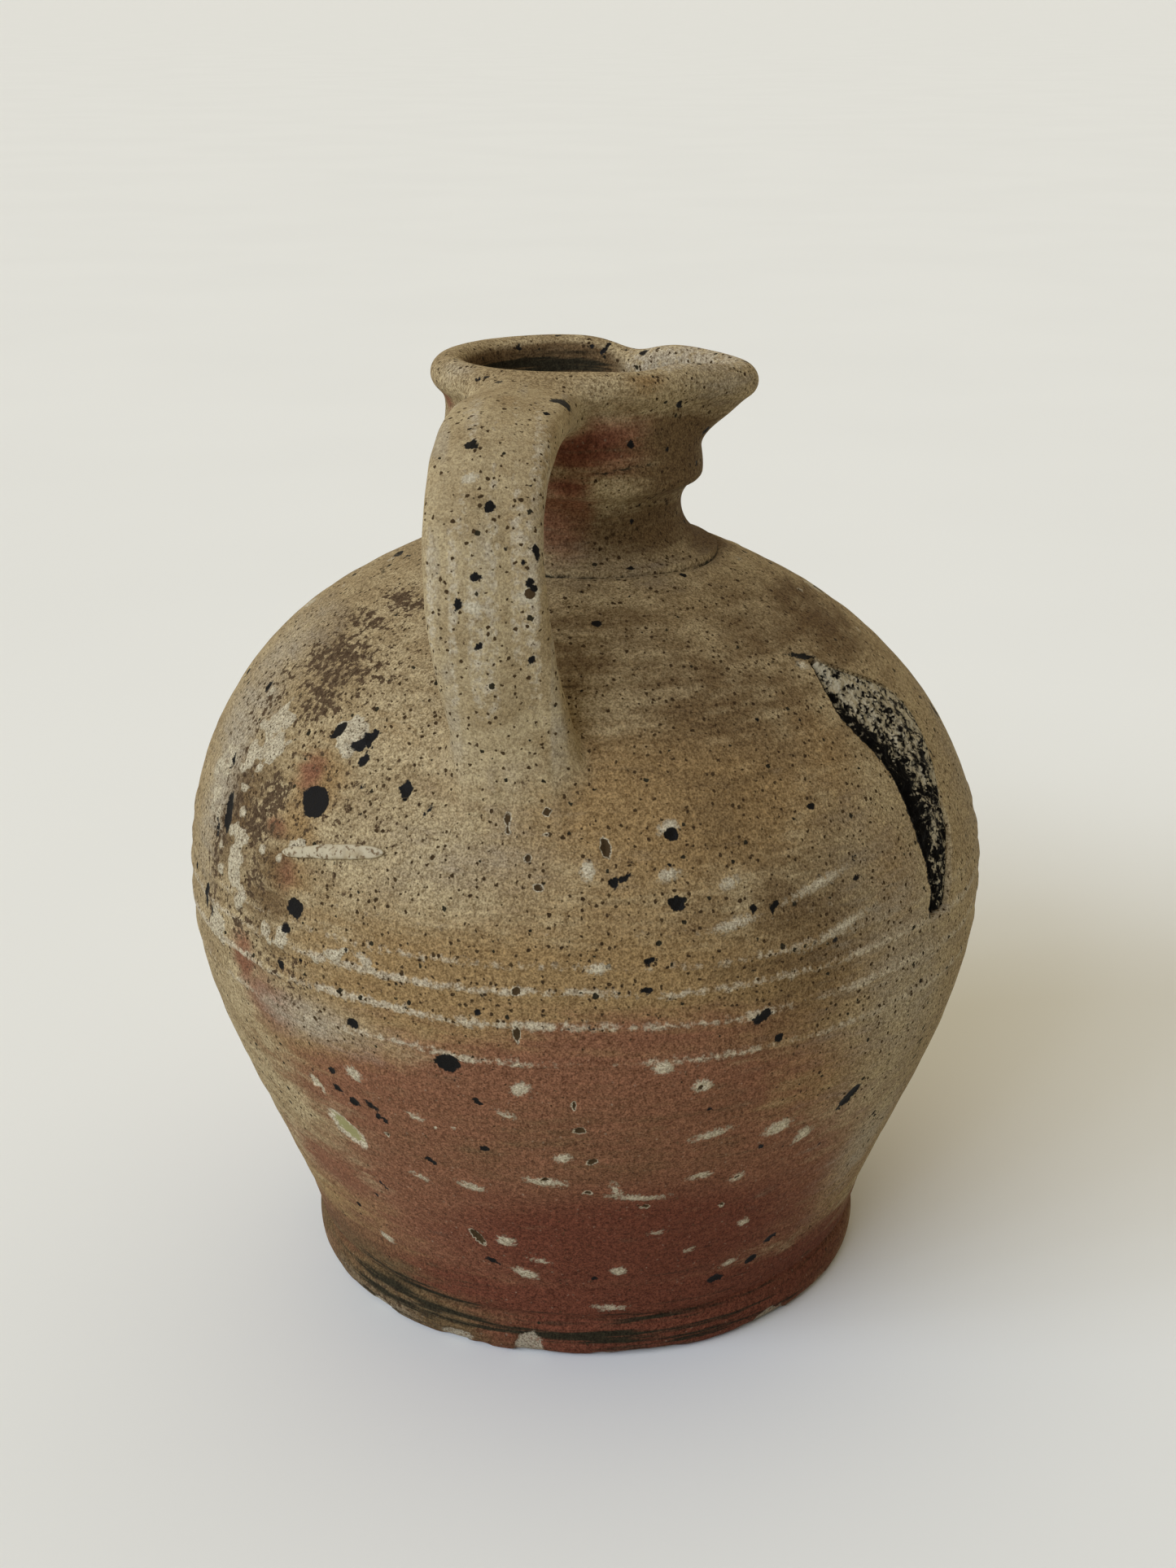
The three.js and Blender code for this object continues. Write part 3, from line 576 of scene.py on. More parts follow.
def mouth_line(sizes):
    half_wide, half_deep = sizes.rim_width / 2, sizes.rim_depth / 2
    middle = np.array([sizes.rim_radius - half_wide, sizes.rim_height - half_deep])
    turn = np.linspace(BEAD_START, math.pi, 60)[:, None]
    bead = middle + np.concatenate([half_wide * np.cos(turn), half_deep * np.sin(turn)], axis=1)
    outside = bezier(
        (LEDGE_RADIUS, sizes.ledge_height),
        (LEDGE_RADIUS - MOUTH_WAIST, sizes.ledge_height + 0.4 * (bead[0][1] - sizes.ledge_height)),
        bead[0] - MOUTH_UNDERCUT * unit(bead[1] - bead[0]),
        bead[0],
    )
    inside = [(NECK_BORE, sizes.ledge_height + MOUTH_DEPTH), (NECK_BORE, sizes.ledge_height)]
    return np.concatenate([outside, bead[1:], inside])


@functools.lru_cache(maxsize=1)
def make_profile(sizes):
    """Rows of the outside with their outward directions, and the rows where two pieces meet."""
    sections = (
        (foot_line(sizes), FOOT_STEP), (lower_line(sizes), WALL_STEP), (shoulder_line(sizes), WALL_STEP),
        (neck_line(sizes), NECK_STEP), (mouth_line(sizes), NECK_STEP),
    )
    rows = resample(*sections[0])
    seams = [0, len(rows) - 1]
    for line, step in sections[1:]:
        rows = np.concatenate([rows, resample(line, step)[1:]])
        seams.append(len(rows) - 1)
    for _ in range(CORNER_ROUNDING):
        rows[1:-1] = (rows[:-2] + 2 * rows[1:-1] + rows[2:]) / 4
    slope = unit(np.gradient(rows, axis=0))
    return Profile(distances(rows), rows[:, 0], rows[:, 1], slope[:, 1], -slope[:, 0], tuple(seams))


def outer_profile(sizes):
    """The profile as far as the top of the rim, without the inside of the mouth."""
    profile = make_profile(sizes)
    end = profile.height.argmax() + 1
    return profile._replace(**{name: getattr(profile, name)[:end] for name in Profile._fields[:5]})


def on_profile(profile, azimuth, along, depth=0.0):
    """Points that lie a depth under the plain turned skin at an azimuth and a way along the profile."""
    radius, height, out_radius, out_height = (
        np.interp(along, profile.along, column)
        for column in (profile.radius, profile.height, profile.out_radius, profile.out_height)
    )
    radius = radius - depth * out_radius
    height = height - depth * out_height
    return np.stack([radius * np.cos(azimuth), radius * np.sin(azimuth), height], axis=-1)


def along_at(profile, height):
    """Way along the profile at which the body's wall reaches a height."""
    body = slice(profile.seams[0], profile.seams[3] + 1)
    return np.interp(height, profile.height[body], profile.along[body])


def nearest_row(profile, points):
    """Nearest place on the profile to each point, as a fractional row, and how far the point lies outside."""
    radius = np.hypot(points[..., 0], points[..., 1]).ravel()
    height = points[..., 2].ravel()
    row = np.empty(radius.size, int)
    for start in range(0, radius.size, POINTS_AT_ONCE):
        part = slice(start, start + POINTS_AT_ONCE)
        apart = (radius[part, None] - profile.radius) ** 2 + (height[part, None] - profile.height) ** 2
        row[part] = apart.argmin(axis=1)
    beyond, above = radius - profile.radius[row], height - profile.height[row]
    outside = beyond * profile.out_radius[row] + above * profile.out_height[row]
    onward = above * profile.out_radius[row] - beyond * profile.out_height[row]
    row = row + np.clip(onward / np.gradient(profile.along)[row], -0.5, 0.5)
    return row.reshape(points.shape[:-1]), outside.reshape(points.shape[:-1])


def pull_lip(points, sizes):
    """The mouth with its lip pulled out and down, and the rim pinched on both sides of it."""
    foot = sizes.ledge_height + LIP_START
    x, y, height = np.moveaxis(points, -1, 0)
    azimuth = np.arctan2(y, x)
    rise = smoothstep(height, foot, sizes.rim_height - 0.8 * sizes.rim_depth)
    pull = rise * bell(azimuth, LIP_SPREAD)
    far, near = bell(azimuth - PINCH_AZIMUTH, PINCH_SPREAD), bell(azimuth + PINCH_AZIMUTH, PINCH_SPREAD)
    pinch = rise * (far + PINCH_NEAR * near)
    radius = np.hypot(x, y)
    stretch = 1 + (sizes.lip_reach * pull - PINCH_IN * pinch) / np.maximum(radius, 1)
    return np.stack([x * stretch, y * stretch, height - LIP_DROP * pull - PINCH_DIP * pinch], axis=-1)


def grid_normals(points):
    """Outward directions on a grid of rings."""
    round_axis = np.roll(points, -1, axis=1) - np.roll(points, 1, axis=1)
    upward = np.gradient(points, axis=0)
    return unit(np.cross(round_axis, upward))


# Marks and washes on the clay

def seen_marks(rows, sizes):
    """Marks that the photograph shows, cast onto the jug."""
    return [Mark(*seen_at(x, y, sizes), wide, high, math.radians(tilt)) for x, y, wide, high, tilt in rows]


def far_marks(sizes, seed, count, small, large):
    """Marks scattered over the sides that the photograph doesn't show."""
    draw = np.random.default_rng(seed)
    profile = make_profile(sizes)
    low, high = profile.along[profile.seams[1]], profile.along[profile.seams[3]]
    marks = []
    for _ in range(count):
        azimuth = math.radians(draw.uniform(*FAR_TURNS))
        along = draw.uniform(low, high)
        place = on_profile(profile, azimuth, along)
        out = unit(place - on_profile(profile, azimuth, along, 1.0))
        wide = small + (large - small) * draw.uniform() ** 3
        marks.append(Mark(place, out, wide, wide * draw.uniform(0.45, 1), draw.uniform(-0.5, 0.5)))
    return marks


@functools.lru_cache(maxsize=1)
def all_marks(sizes):
    """Every mark of each kind, those of the photograph first."""
    seen = {"iron": IRON_SPOTS, "pit": OPEN_PITS, "pale": PALE_MARKS, "glass": GLASS_POOLS}
    return {kind: seen_marks(rows, sizes) + far_marks(sizes, *FAR_MARKS[kind]) for kind, rows in seen.items()}


def stamp(points, normals, marks):
    """How deep each point lies inside the nearest mark, in millimetres, negative outside it."""
    field = np.full(len(points), -FAR)
    for mark in marks:
        apart = points - mark.place
        reach = max(mark.wide, mark.high) / 2 + MARK_MARGIN
        near = np.flatnonzero((np.abs(apart) < reach).all(axis=1) & (normals @ mark.out > MARK_FACING))
        right = unit(np.cross((0, 0, 1), mark.out))
        upward = np.cross(mark.out, right)
        across, rise = apart[near] @ right, apart[near] @ upward
        turned = across * math.cos(mark.tilt) + rise * math.sin(mark.tilt)
        raised = rise * math.cos(mark.tilt) - across * math.sin(mark.tilt)
        share = np.hypot(turned / (mark.wide / 2), raised / (mark.high / 2))
        field[near] = np.maximum(field[near], (1 - share) * min(mark.wide, mark.high) / 2)
    return field


def crack_field(points, sizes):
    """How deep each point lies inside the nearest crack, in millimetres, negative outside it."""
    field = np.full(len(points), -FAR)
    for start_pixel, end_pixel in CRACKS:
        start, end = seen_at(*start_pixel, sizes)[0], seen_at(*end_pixel, sizes)[0]
        way = end - start
        share = np.clip((points - start) @ way / (way @ way), 0, 1)
        apart = np.linalg.norm(points - start - share[:, None] * way, axis=1)
        field = np.maximum(field, CRACK_HALF - apart)
    return field


def mark_fields(rings, normals, sizes):
    """Depth inside each kind of mark at the points of a grid."""
    points, outward = rings.reshape(-1, 3), normals.reshape(-1, 3)
    fields = {kind: stamp(points, outward, marks) for kind, marks in all_marks(sizes).items()}
    fields["crack"] = crack_field(points, sizes)
    return {name: field.reshape(rings.shape[:2]) for name, field in fields.items()}


def wash(azimuth, along, radius, seen, far, profile, sizes):
    """Soft patches of a colour on the body, from 0 to 1."""
    amount = np.zeros(azimuth.shape)
    outer = profile.height[:profile.height.argmax()]
    patches = [(seen_at(x, y, sizes)[0], *rest) for x, y, *rest in seen]
    places = [(np.arctan2(place[1], place[0]), place[2], *rest) for place, *rest in patches]
    places += [(math.radians(turn), *rest) for turn, *rest in far]
    for turn, height, wide, high, strength in places:
        across = (azimuth - turn + math.pi) % (2 * math.pi) - math.pi
        middle = profile.along[np.abs(outer - height).argmin()]
        patch = bell(across * radius, wide / 2) * bell(along - middle, high / 2)
        amount = np.maximum(amount, strength * patch)
    return np.minimum(amount, 1)


WASHES = {
    "umber": (UMBER_FLASHES_AND_PAINTED_SHADE, FAR_UMBER),
    "red": (RED_FLASHES, FAR_RED),
    "maroon": (MAROON_FLASHES, FAR_MAROON),
    "orange": (ORANGE_FLASHES, FAR_ORANGE),
    "olive": (OLIVE_TINTS_AND_PAINTED_LIGHT, FAR_OLIVE),
    "ash": (ASH_MOTTLES, FAR_ASH),
    "crust": (ASH_CRUSTS, FAR_CRUST),
    "soot": (FOOT_SOOT, FAR_SOOT),
}
MARK_FIELDS = ("iron", "pit", "pale", "glass", "crack")
SHARE_FIELDS = (*WASHES, "slip", "chip", "char", "thrown")


# The scar, as two edges in a flat map of the wall round its middle

def flat_map(points, profile, middle):
    """Way across and way up from a middle point, unrolled on the body's wall."""
    azimuth = np.arctan2(points[..., 1], points[..., 0]) - math.atan2(middle[1], middle[0])
    along = along_at(profile, points[..., 2])
    across = azimuth * np.hypot(points[..., 0], points[..., 1])
    return across, along - along_at(profile, middle[2])


@functools.lru_cache(maxsize=1)
def scar_edges(sizes):
    """Middle of the scar, and its left and right edge as ways across for even ways up."""
    profile = make_profile(sizes)
    left = np.array([seen_at(x, y, sizes)[0] for x, y in SCAR_LEFT])
    right = np.array([seen_at(x, y, sizes)[0] for x, y in SCAR_RIGHT])
    middle = (left.mean(axis=0) + right.mean(axis=0)) / 2
    edges = []
    for points in (left, right):
        across, up = flat_map(points, profile, middle)
        order = np.argsort(up)
        edges.append((up[order], across[order]))
    low = max(edge[0][0] for edge in edges)
    high = min(edge[0][-1] for edge in edges)
    up = np.linspace(low, high, SCAR_ROWS)
    sides = [np.interp(up, *edge) for edge in edges]
    smooth = np.ones(SCAR_SMOOTHING) / SCAR_SMOOTHING
    padded = (np.pad(side, SCAR_SMOOTHING // 2, mode="edge") for side in sides)
    left, right = (np.convolve(side, smooth, mode="valid") for side in padded)
    return middle, up, left, right


def scar_map(azimuth, along, radius, profile, sizes):
    """How far inside the scar each point lies, with the ways to its left and right edge."""
    middle, up, left, right = scar_edges(sizes)
    across = (azimuth - math.atan2(middle[1], middle[0])) * radius
    rise = along - along_at(profile, middle[2])
    from_left = across - np.interp(rise, up, left)
    to_right = np.interp(rise, up, right) - across
    ends = np.minimum(rise - up[0], up[-1] - rise)
    return np.minimum(np.minimum(from_left, to_right), ends), from_left, to_right


def snap_to_scar(azimuth, along, radius, profile, sizes):
    """Azimuths moved so that one column in each row lies on each edge of the scar."""
    inside, from_left, to_right = scar_map(azimuth, along, radius, profile, sizes)
    ends = np.flatnonzero(inside.max(axis=1) > 0)
    for row in ends:
        for way, sign in ((from_left, -1), (to_right, 1)):
            column = np.abs(way[row]).argmin()
            azimuth[row, column] += sign * way[row, column] / radius[row, column]
    return azimuth


# The whole skin of the turned clay

def neck_cut(azimuth, profile, sizes):
    """Way along the profile at which the line cut round the neck's foot runs, by azimuth."""
    ends = [seen_at(x, y, sizes)[0] for x, y in NECK_CUT_PIXELS]
    rows = [nearest_row(profile, point[None])[0][0] for point in ends]
    front, side = np.interp(rows, np.arange(len(profile.along)), profile.along)
    turns = [math.cos(math.atan2(point[1], point[0])) for point in ends]
    return front + (side - front) * (np.cos(azimuth) - turns[0]) / (turns[1] - turns[0])


def relief(points, azimuth, along, profile, sizes):
    """How far the hand-made skin stands out from the plain turned one, with the fields it needs."""
    height = points[..., 2]
    body = smoothstep(height, sizes.base_height, sizes.base_height + FADE_OVER_FOOT)
    body = body * (1 - smoothstep(height, sizes.neck_height - FADE_UNDER_NECK, sizes.neck_height))
    spiral = along + SPIRAL_RISE * azimuth / (2 * math.pi)
    flat = np.zeros_like(spiral)
    fingers = clay_noise(np.stack([spiral, flat, flat], axis=-1), FINGER_WIDTH)
    fingers = fingers * (0.5 + 0.5 * clay_noise(points, 26))
    thrown = body + 0.7 * smoothstep(height, sizes.neck_height - 6, sizes.neck_height + 4)
    stand = lumps(points, SKIN_LUMPS) * (0.35 + 0.65 * body) + FINGER_HEIGHT * fingers * thrown
    # Throwing rings with pale slip on them
    wobble = lumps(points, RING_WOBBLE)
    slip = np.zeros_like(stand)
    for pixel_y, strength in RINGS:
        ring = along - along_at(profile, seen_at(AXIS_PIXEL, pixel_y, sizes)[0][2]) - wobble
        slip = np.maximum(slip, strength * bell(ring, SLIP_WIDTH))
        stand = stand + sizes.ring_height * bell(ring, RING_WIDTH)
    slip = slip * np.clip(0.9 + lumps(points, SLIP_PATCHES), 0, 1)
    # Groove over the foot, and the line cut round the neck's foot under a low ridge
    groove = height - sizes.base_height - SLIP_GAP - 0.3 * clay_noise(points, 18)
    stand = stand - sizes.groove_depth * bell(groove, GROOVE_WIDTH)
    cut = along - neck_cut(azimuth, profile, sizes) - 0.2 * clay_noise(points, 20)
    ridge = smoothstep(cut, *NECK_RIDGE_START) * (1 - smoothstep(cut, *NECK_RIDGE_END))
    stand = stand + NECK_RIDGE * ridge - NECK_CUT_DEPTH * bell(cut, NECK_CUT_WIDTH)
    stand = stand - FINE_CUT_DEPTH * bell(cut - FINE_CUT_RISE, FINE_CUT_WIDTH)
    return stand, {"slip": slip, "crack": NECK_CUT_HALF - np.abs(cut)}


def foot_chips(points, azimuth, radius, sizes):
    """Breaks along the foot's lower edge, from 0 to 1."""
    low = 1 - smoothstep(points[..., 2], *CHIP_FADE)
    chips = 0.85 * low * smoothstep(lumps(points, FOOT_RAGS), -0.7, 0.3)
    for pixel_x, pixel_y, wide, high in FOOT_CHIPS:
        place = seen_at(pixel_x, pixel_y, sizes)[0]
        across = (azimuth - math.atan2(place[1], place[0])) * radius
        edge = 1 - np.hypot(across / (wide / 2), (points[..., 2] - place[2] + high / 2) / high)
        chips = np.maximum(chips, smoothstep(edge + 0.25 * clay_noise(points, 2.4), 0.0, 0.25))
    return chips


def settled_crust(points, amount):
    """Ash crust, broken into raised scraps, from 0 to 1."""
    return smoothstep(amount + lumps(points, CRUST_SCRAPS), 0.45, 0.75) * smoothstep(amount, 0.05, 0.2)


def add_scar(stand, fields, azimuth, along, radius, profile, sizes):
    """The skin with the burst scar sunk into the shoulder, its right edge raised, and black laid along its
    left edge and over its hollow: charred clay, and painted shade of the overhanging edge.
    """
    inside, from_left, to_right = scar_map(azimuth, along, radius, profile, sizes)
    height = profile.height[:, None]
    level = (height > sizes.belly_height) & (height < sizes.neck_height)
    lip = bell(to_right + SCAR_LIP / 2, SCAR_LIP / 2) * (np.abs(from_left) < SCAR_REACH)
    near_ends = smoothstep(inside, *SCAR_FADE)
    stand = stand + np.where(level, SCAR_LIP_HEIGHT * lip * near_ends, 0)
    hollow = level & (inside > SCAR_EDGE)
    # Black along the scar's left edge and over its hollow: charred clay, and painted shade under the
    # overhanging edge and on the hollow's walls
    burnt_and_shaded = smoothstep(inside, *BURNT_AND_SHADED_EDGE) * (from_left < to_right)
    fields["char"] = np.where(hollow, 1, np.where(level, burnt_and_shaded, 0))
    return np.where(hollow, -sizes.scar_depth, stand)


def paint_mouth_light_shade_and_stain(fields, azimuth, profile):
    """Adds pale slip along the lip, partly painted light, and brown and soot that deepen down the rest of the
    mouth's inside, partly stain and partly painted shade.
    """
    below_rim = (profile.along - profile.along[profile.height.argmax()])[:, None]
    past_lip = smoothstep(np.abs(azimuth), *LIP_SIDES)
    # The slip on the lip's top and inside is partly painted light; the umber and soot, darker further down
    # inside, are partly stain and partly painted shade
    # Each with the ways past the rim's top at which it starts and is full
    for name, amount, start, full in (
        ("slip", 0.75 * (1 - past_lip), -7, 0), ("umber", past_lip, 1.5, 6), ("soot", 0.95 * past_lip, 2, 9),
    ):
        fields[name] = np.maximum(fields[name], amount * smoothstep(below_rim, start, full))


@functools.lru_cache(maxsize=1)
def jug_skin(sizes):
    """The turned clay's outside as one grid, so that neighbouring pieces share their seams."""
    profile = make_profile(sizes)
    turn = np.linspace(-math.pi, math.pi, COLUMNS, endpoint=False)
    azimuth = np.tile(turn, (len(profile.along), 1))
    along = np.tile(profile.along[:, None], (1, COLUMNS))
    radius = np.tile(profile.radius[:, None], (1, COLUMNS))
    azimuth = snap_to_scar(azimuth, along, radius, profile, sizes)
    plain = pull_lip(on_profile(profile, azimuth, along), sizes)
    normals = grid_normals(plain)
    stand, fields = relief(plain, azimuth, along, profile, sizes)
    for name, field in mark_fields(plain, normals, sizes).items():
        fields[name] = np.maximum(field, fields.get(name, -FAR))
    for name, (seen, far) in WASHES.items():
        fields[name] = wash(azimuth, along, radius, seen, far, profile, sizes)
    fields["crust"] = settled_crust(plain, fields["crust"])
    fields["chip"] = foot_chips(plain, azimuth, radius, sizes)
    fields["thrown"] = np.ones_like(stand)
    stand = stand + CRUST_HEIGHT * fields["crust"]
    stand = stand - CHIP_DEPTH * fields["chip"] * (profile.height[:, None] < sizes.base_height)
    for name, (amount, low, high) in MARK_RELIEF.items():
        stand = stand + amount * smoothstep(fields[name], low, high)
    stand = stand - CRACK_DEPTH * bell(fields["crack"], 0.5)
    stand = add_scar(stand, fields, azimuth, along, radius, profile, sizes)
    paint_mouth_light_shade_and_stain(fields, azimuth, profile)
    # The mouth is turned more finely than the body
    stand[profile.seams[4]:] *= np.linspace(1, MOUTH_SMOOTHNESS, len(stand) - profile.seams[4])[:, None]
    points = plain + normals * stand[..., None]
    points[..., 2] = np.maximum(points[..., 2], 0)
    return Skin(profile, points, grid_normals(points), fields)


def between(grid, row, column):
    """Values of a grid at fractional rows and columns, its columns running round."""
    low_row = np.clip(np.floor(row).astype(int), 0, len(grid) - 2)
    low_column = np.floor(column).astype(int)
    up, across = (row - low_row)[..., None], (column - low_column)[..., None]
    near, far = low_column % COLUMNS, (low_column + 1) % COLUMNS
    below = grid[low_row, near] * (1 - across) + grid[low_row, far] * across
    above = grid[low_row + 1, near] * (1 - across) + grid[low_row + 1, far] * across
    return below * (1 - up) + above * up


def place_on_skin(points, profile):
    """Fractional row and column of the skin's grid that lie nearest to each point."""
    row, _ = nearest_row(profile, points)
    return row, (np.arctan2(points[..., 1], points[..., 0]) + math.pi) / (2 * math.pi) * COLUMNS


def onto_skin(points, sizes):
    """Points moved onto the jug's skin, with its outward directions there."""
    skin = jug_skin(sizes)
    row, column = place_on_skin(points, skin.profile)
    return between(skin.points, row, column), unit(between(skin.normals, row, column))


# From arrays to objects that stand for the frame's solids

def tube_faces(rings, columns, closed):
    """Quads between neighbouring rings, and from the last ring to the first one where it is closed."""
    count = rings if closed else rings - 1
    ring, column = np.meshgrid(np.arange(count), np.arange(columns), indexing="ij")
    above, beside = (ring + 1) % rings, (column + 1) % columns
    corners = ((ring, column), (ring, beside), (above, beside), (above, column))
    return np.stack([row * columns + place for row, place in corners], axis=-1).reshape(-1, 4)


def fired_piece(node, material, rings, sizes, normals=None, fields=None, closed=True):
    """A closed mesh from rings of points, with its fields, standing for a solid of the frame."""
    count, columns = rings.shape[:2]
    points = rings.reshape(-1, 3).copy()
    faces = tube_faces(count, columns, closed).tolist()
    if not closed:
        ends = np.stack([rings[0].mean(axis=0), rings[-1].mean(axis=0)])
        first, last = len(points), len(points) + 1
        points = np.concatenate([points, ends])
        top = (count - 1) * columns
        for column in range(columns):
            beside = (column + 1) % columns
            faces.append([first, beside, column])
            faces.append([last, top + column, top + beside])
    points[:, 0] -= lean_at(points[:, 2], sizes)
    mesh = bpy.data.meshes.new(node + "_fired")
    mesh.from_pydata((points * MM).tolist(), [], faces)
    mesh.shade_smooth()
    for name in (*MARK_FIELDS, *SHARE_FIELDS):
        empty = -FAR if name in MARK_FIELDS else 0.0
        values = np.full(len(points), empty, np.float32)
        known = (fields or {}).get(name)
        if known is not None:
            values[:known.size] = known.ravel()
        mesh.attributes.new(name, "FLOAT", "POINT").data.foreach_set("value", values)
    if normals is not None:
        shading = np.array([corner.vector for corner in mesh.vertex_normals])
        shading[:normals.shape[0] * columns] = normals.reshape(-1, 3)
        mesh.normals_split_custom_set_from_vertices(shading.tolist())
    mesh.materials.append(material)
    piece = bpy.data.objects.new(mesh.name, mesh)
    bpy.context.scene.collection.objects.link(piece)
    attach(piece, "root")
    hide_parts(node)
    return piece


def turned_ring(radius, height):
    """A plain ring round the axis."""
    turn = np.linspace(-math.pi, math.pi, COLUMNS, endpoint=False)
    return np.stack([radius * np.cos(turn), radius * np.sin(turn), np.full(COLUMNS, height)], axis=1)


def skin_piece(node, slot, section, lining, sizes):
    """A turned piece: its stretch of the skin, closed by a lining of plain rings."""
    skin = jug_skin(sizes)
    rows = slice(skin.profile.seams[section], skin.profile.seams[section + 1] + 1)
    rings = np.concatenate([skin.points[rows], [turned_ring(*ring) for ring in lining]])
    fields = {name: field[rows] for name, field in skin.fields.items()}
    return fired_piece(node, fired_clay(slot), rings, sizes, skin.normals[rows], fields)


def wall_lining(line, wall, count=14):
    """Rings of a wall's inside, from its upper end down."""
    rows = resample(line, distances(line)[-1] / count)
    slope = unit(np.gradient(rows, axis=0))
    return [(r - wall * up, z + wall * out) for (r, z), (out, up) in zip(rows, slope)][::-1]


# The strap handle

def handle_line(sizes):
    """Points of the handle's middle line, run on straight past both ends."""
    root_height = sizes.rim_height - HANDLE_ROOT_DROP
    foot_height = sizes.neck_height - HANDLE_FOOT_DROP
    profile = make_profile(sizes)
    foot_radius = np.interp(along_at(profile, foot_height), profile.along, profile.radius)
    reach = math.sqrt(foot_radius ** 2 - HANDLE_SIDE ** 2)
    root = (HANDLE_EMBED - HANDLE_ROOT_RADIUS, root_height)
    foot = (HANDLE_EMBED / 2 - reach, foot_height - HANDLE_EMBED)
    line = bezier(
        root,
        (-HANDLE_ROOT_RADIUS - HANDLE_ARCH, root_height + HANDLE_LIFT),
        (-reach - HANDLE_SPLAY, foot_height + HANDLE_STAND),
        foot,
    )
    chord = np.subtract(foot, root)
    share = np.clip((line - root) @ chord / (chord @ chord), 0, 1)
    side = HANDLE_SIDE + 4 * HANDLE_BOW * share * (1 - share)
    line = np.concatenate([side[:, None], line], axis=1)
    before = line[0] + HANDLE_OVERRUN * unit(line[0] - line[1])
    after = line[-1] + HANDLE_OVERRUN * unit(line[-1] - line[-2])
    return resample(np.concatenate([[before], line, [after]]), HANDLE_STEP)


def handle_surface(sizes):
    """Rings of the strap along its line, with the outward direction of each point."""
    line = handle_line(sizes)
    way = unit(np.gradient(line, axis=0))
    side = unit(np.array([1.0, 0, 0]) - way[:, :1] * way)
    out = np.cross(way, side)
    turn = np.linspace(0, 2 * math.pi, HANDLE_COLUMNS, endpoint=False)
    across, rise = (
        np.sign(wave) * np.abs(wave) ** (2 / STRAP_SQUARENESS) for wave in (np.cos(turn), np.sin(turn))
    )
    share = np.linspace(-1, 1, len(line))[:, None]
    wide = sizes.strap_width / 2 * (STRAP_WAIST + STRAP_FLARE * share ** 4)
    waves = np.cos(2 * math.pi * across * RIDGE_WAVES + RIDGE_SHIFT)
    thick = sizes.strap_thickness / 2 + STRAP_RIDGES * waves * smoothstep(rise, 0.2, 0.8)
    rings = line[:, None] + side[:, None] * (across * wide)[..., None]
    rings = rings + out[:, None] * (rise * thick)[..., None]
    normals = grid_normals(rings)
    stand = lumps(rings, STRAP_LUMPS) + 0.14 * clay_noise(rings * STRAP_DRAG, 1.6)
    return rings + normals * stand[..., None], normals


def crossing(outside, level, backwards):
    """Fractional row at which each column first rises above a level, counted from one end."""
    rows = outside[::-1] if backwards else outside
    above = rows > level
    row = np.maximum(above.argmax(axis=0), 1)
    columns = np.arange(rows.shape[1])
    low, high = rows[row - 1, columns], rows[row, columns]
    place = row - 1 + np.clip((level - low) / np.maximum(high - low, 1e-6), 0, 1)
    return len(rows) - 1 - place if backwards else place


def at_rows(grid, place):
    """Points of a grid at a fractional row for each column."""
    first = np.clip(np.floor(place).astype(int), 0, len(grid) - 2)
    share = (place - first)[:, None]
    columns = np.arange(grid.shape[1])
    return grid[first, columns] * (1 - share) + grid[first + 1, columns] * share


def trimmed_handle(sizes):
    """The strap with both ends cut a little under the skin that they are luted to."""
    rings, normals = handle_surface(sizes)
    _, outside = nearest_row(outer_profile(sizes), rings)
    start = crossing(outside, -HANDLE_SINK, False)
    end = crossing(outside, -HANDLE_SINK, True)
    shares = np.linspace(0, 1, len(rings))
    trimmed = np.stack([at_rows(rings, start + (end - start) * share) for share in shares])
    return trimmed, rings, normals, outside


def strap_fields(points):
    """Washes of colour drawn out along the strap."""
    drawn = points * STRAP_STREAKS
    way = np.linspace(0, 1, len(points))[:, None]
    middle = smoothstep(np.minimum(way, 1 - way), 0.02, 0.25)
    streak = clay_noise(drawn, 3.2) + 0.6 * clay_noise(drawn, 1.3) + 0.5 * clay_noise(points, 12)
    return {
        "olive": 0.5 * smoothstep(streak, -0.3, 0.8),
        "orange": 0.25 * smoothstep(-streak, 0.3, 1.1),
        "slip": 0.62 * middle * smoothstep(clay_noise(drawn, 2.1), -0.4, 0.5),
    }


def lute_rings(sizes, at_foot):
    """Rings of a fillet of clay from the strap onto the skin: those that show, then those that close it."""
    _, rings, normals, outside = trimmed_handle(sizes)
    root = crossing(outside, 0.0, at_foot)
    meet, out = at_rows(rings, root), unit(at_rows(normals, root))
    turn = np.linspace(0, 2 * math.pi, HANDLE_COLUMNS, endpoint=False)
    sides = np.maximum([np.cos(turn), -np.cos(turn), np.sin(turn), -np.sin(turn)], 0) ** 2
    reaches = (LOWER_CLIMB, LOWER_SPREAD) if at_foot else (UPPER_CLIMB, UPPER_SPREAD)
    climb, spread = (np.dot(reach, sides) for reach in reaches)
    upper = at_rows(rings, crossing(outside, climb, at_foot))
    _, skin_out = onto_skin(meet, sizes)
    away = unit(out - (out * skin_out).sum(axis=1, keepdims=True) * skin_out)
    lower, lower_out = onto_skin(meet + away * spread[:, None], sizes)
    short = ((lower - meet) * lower_out).sum(axis=1) / (skin_out * lower_out).sum(axis=1)
    bend = meet + np.clip(short, 0, LUTE_BEND)[:, None] * skin_out
    share = np.linspace(0, 1, LUTE_ROWS)[:, None, None]
    shown = upper * (1 - share) ** 2 + 2 * bend * share * (1 - share) + lower * share ** 2
    buried = meet - LUTE_ROOT[0] * skin_out - LUTE_ROOT[1] * out
    hidden = np.stack([lower - LUTE_TUCK * lower_out, buried, upper - LUTE_TUCK * out])
    if not at_foot:
        shown, hidden = shown[::-1], hidden[::-1]
    return shown, hidden


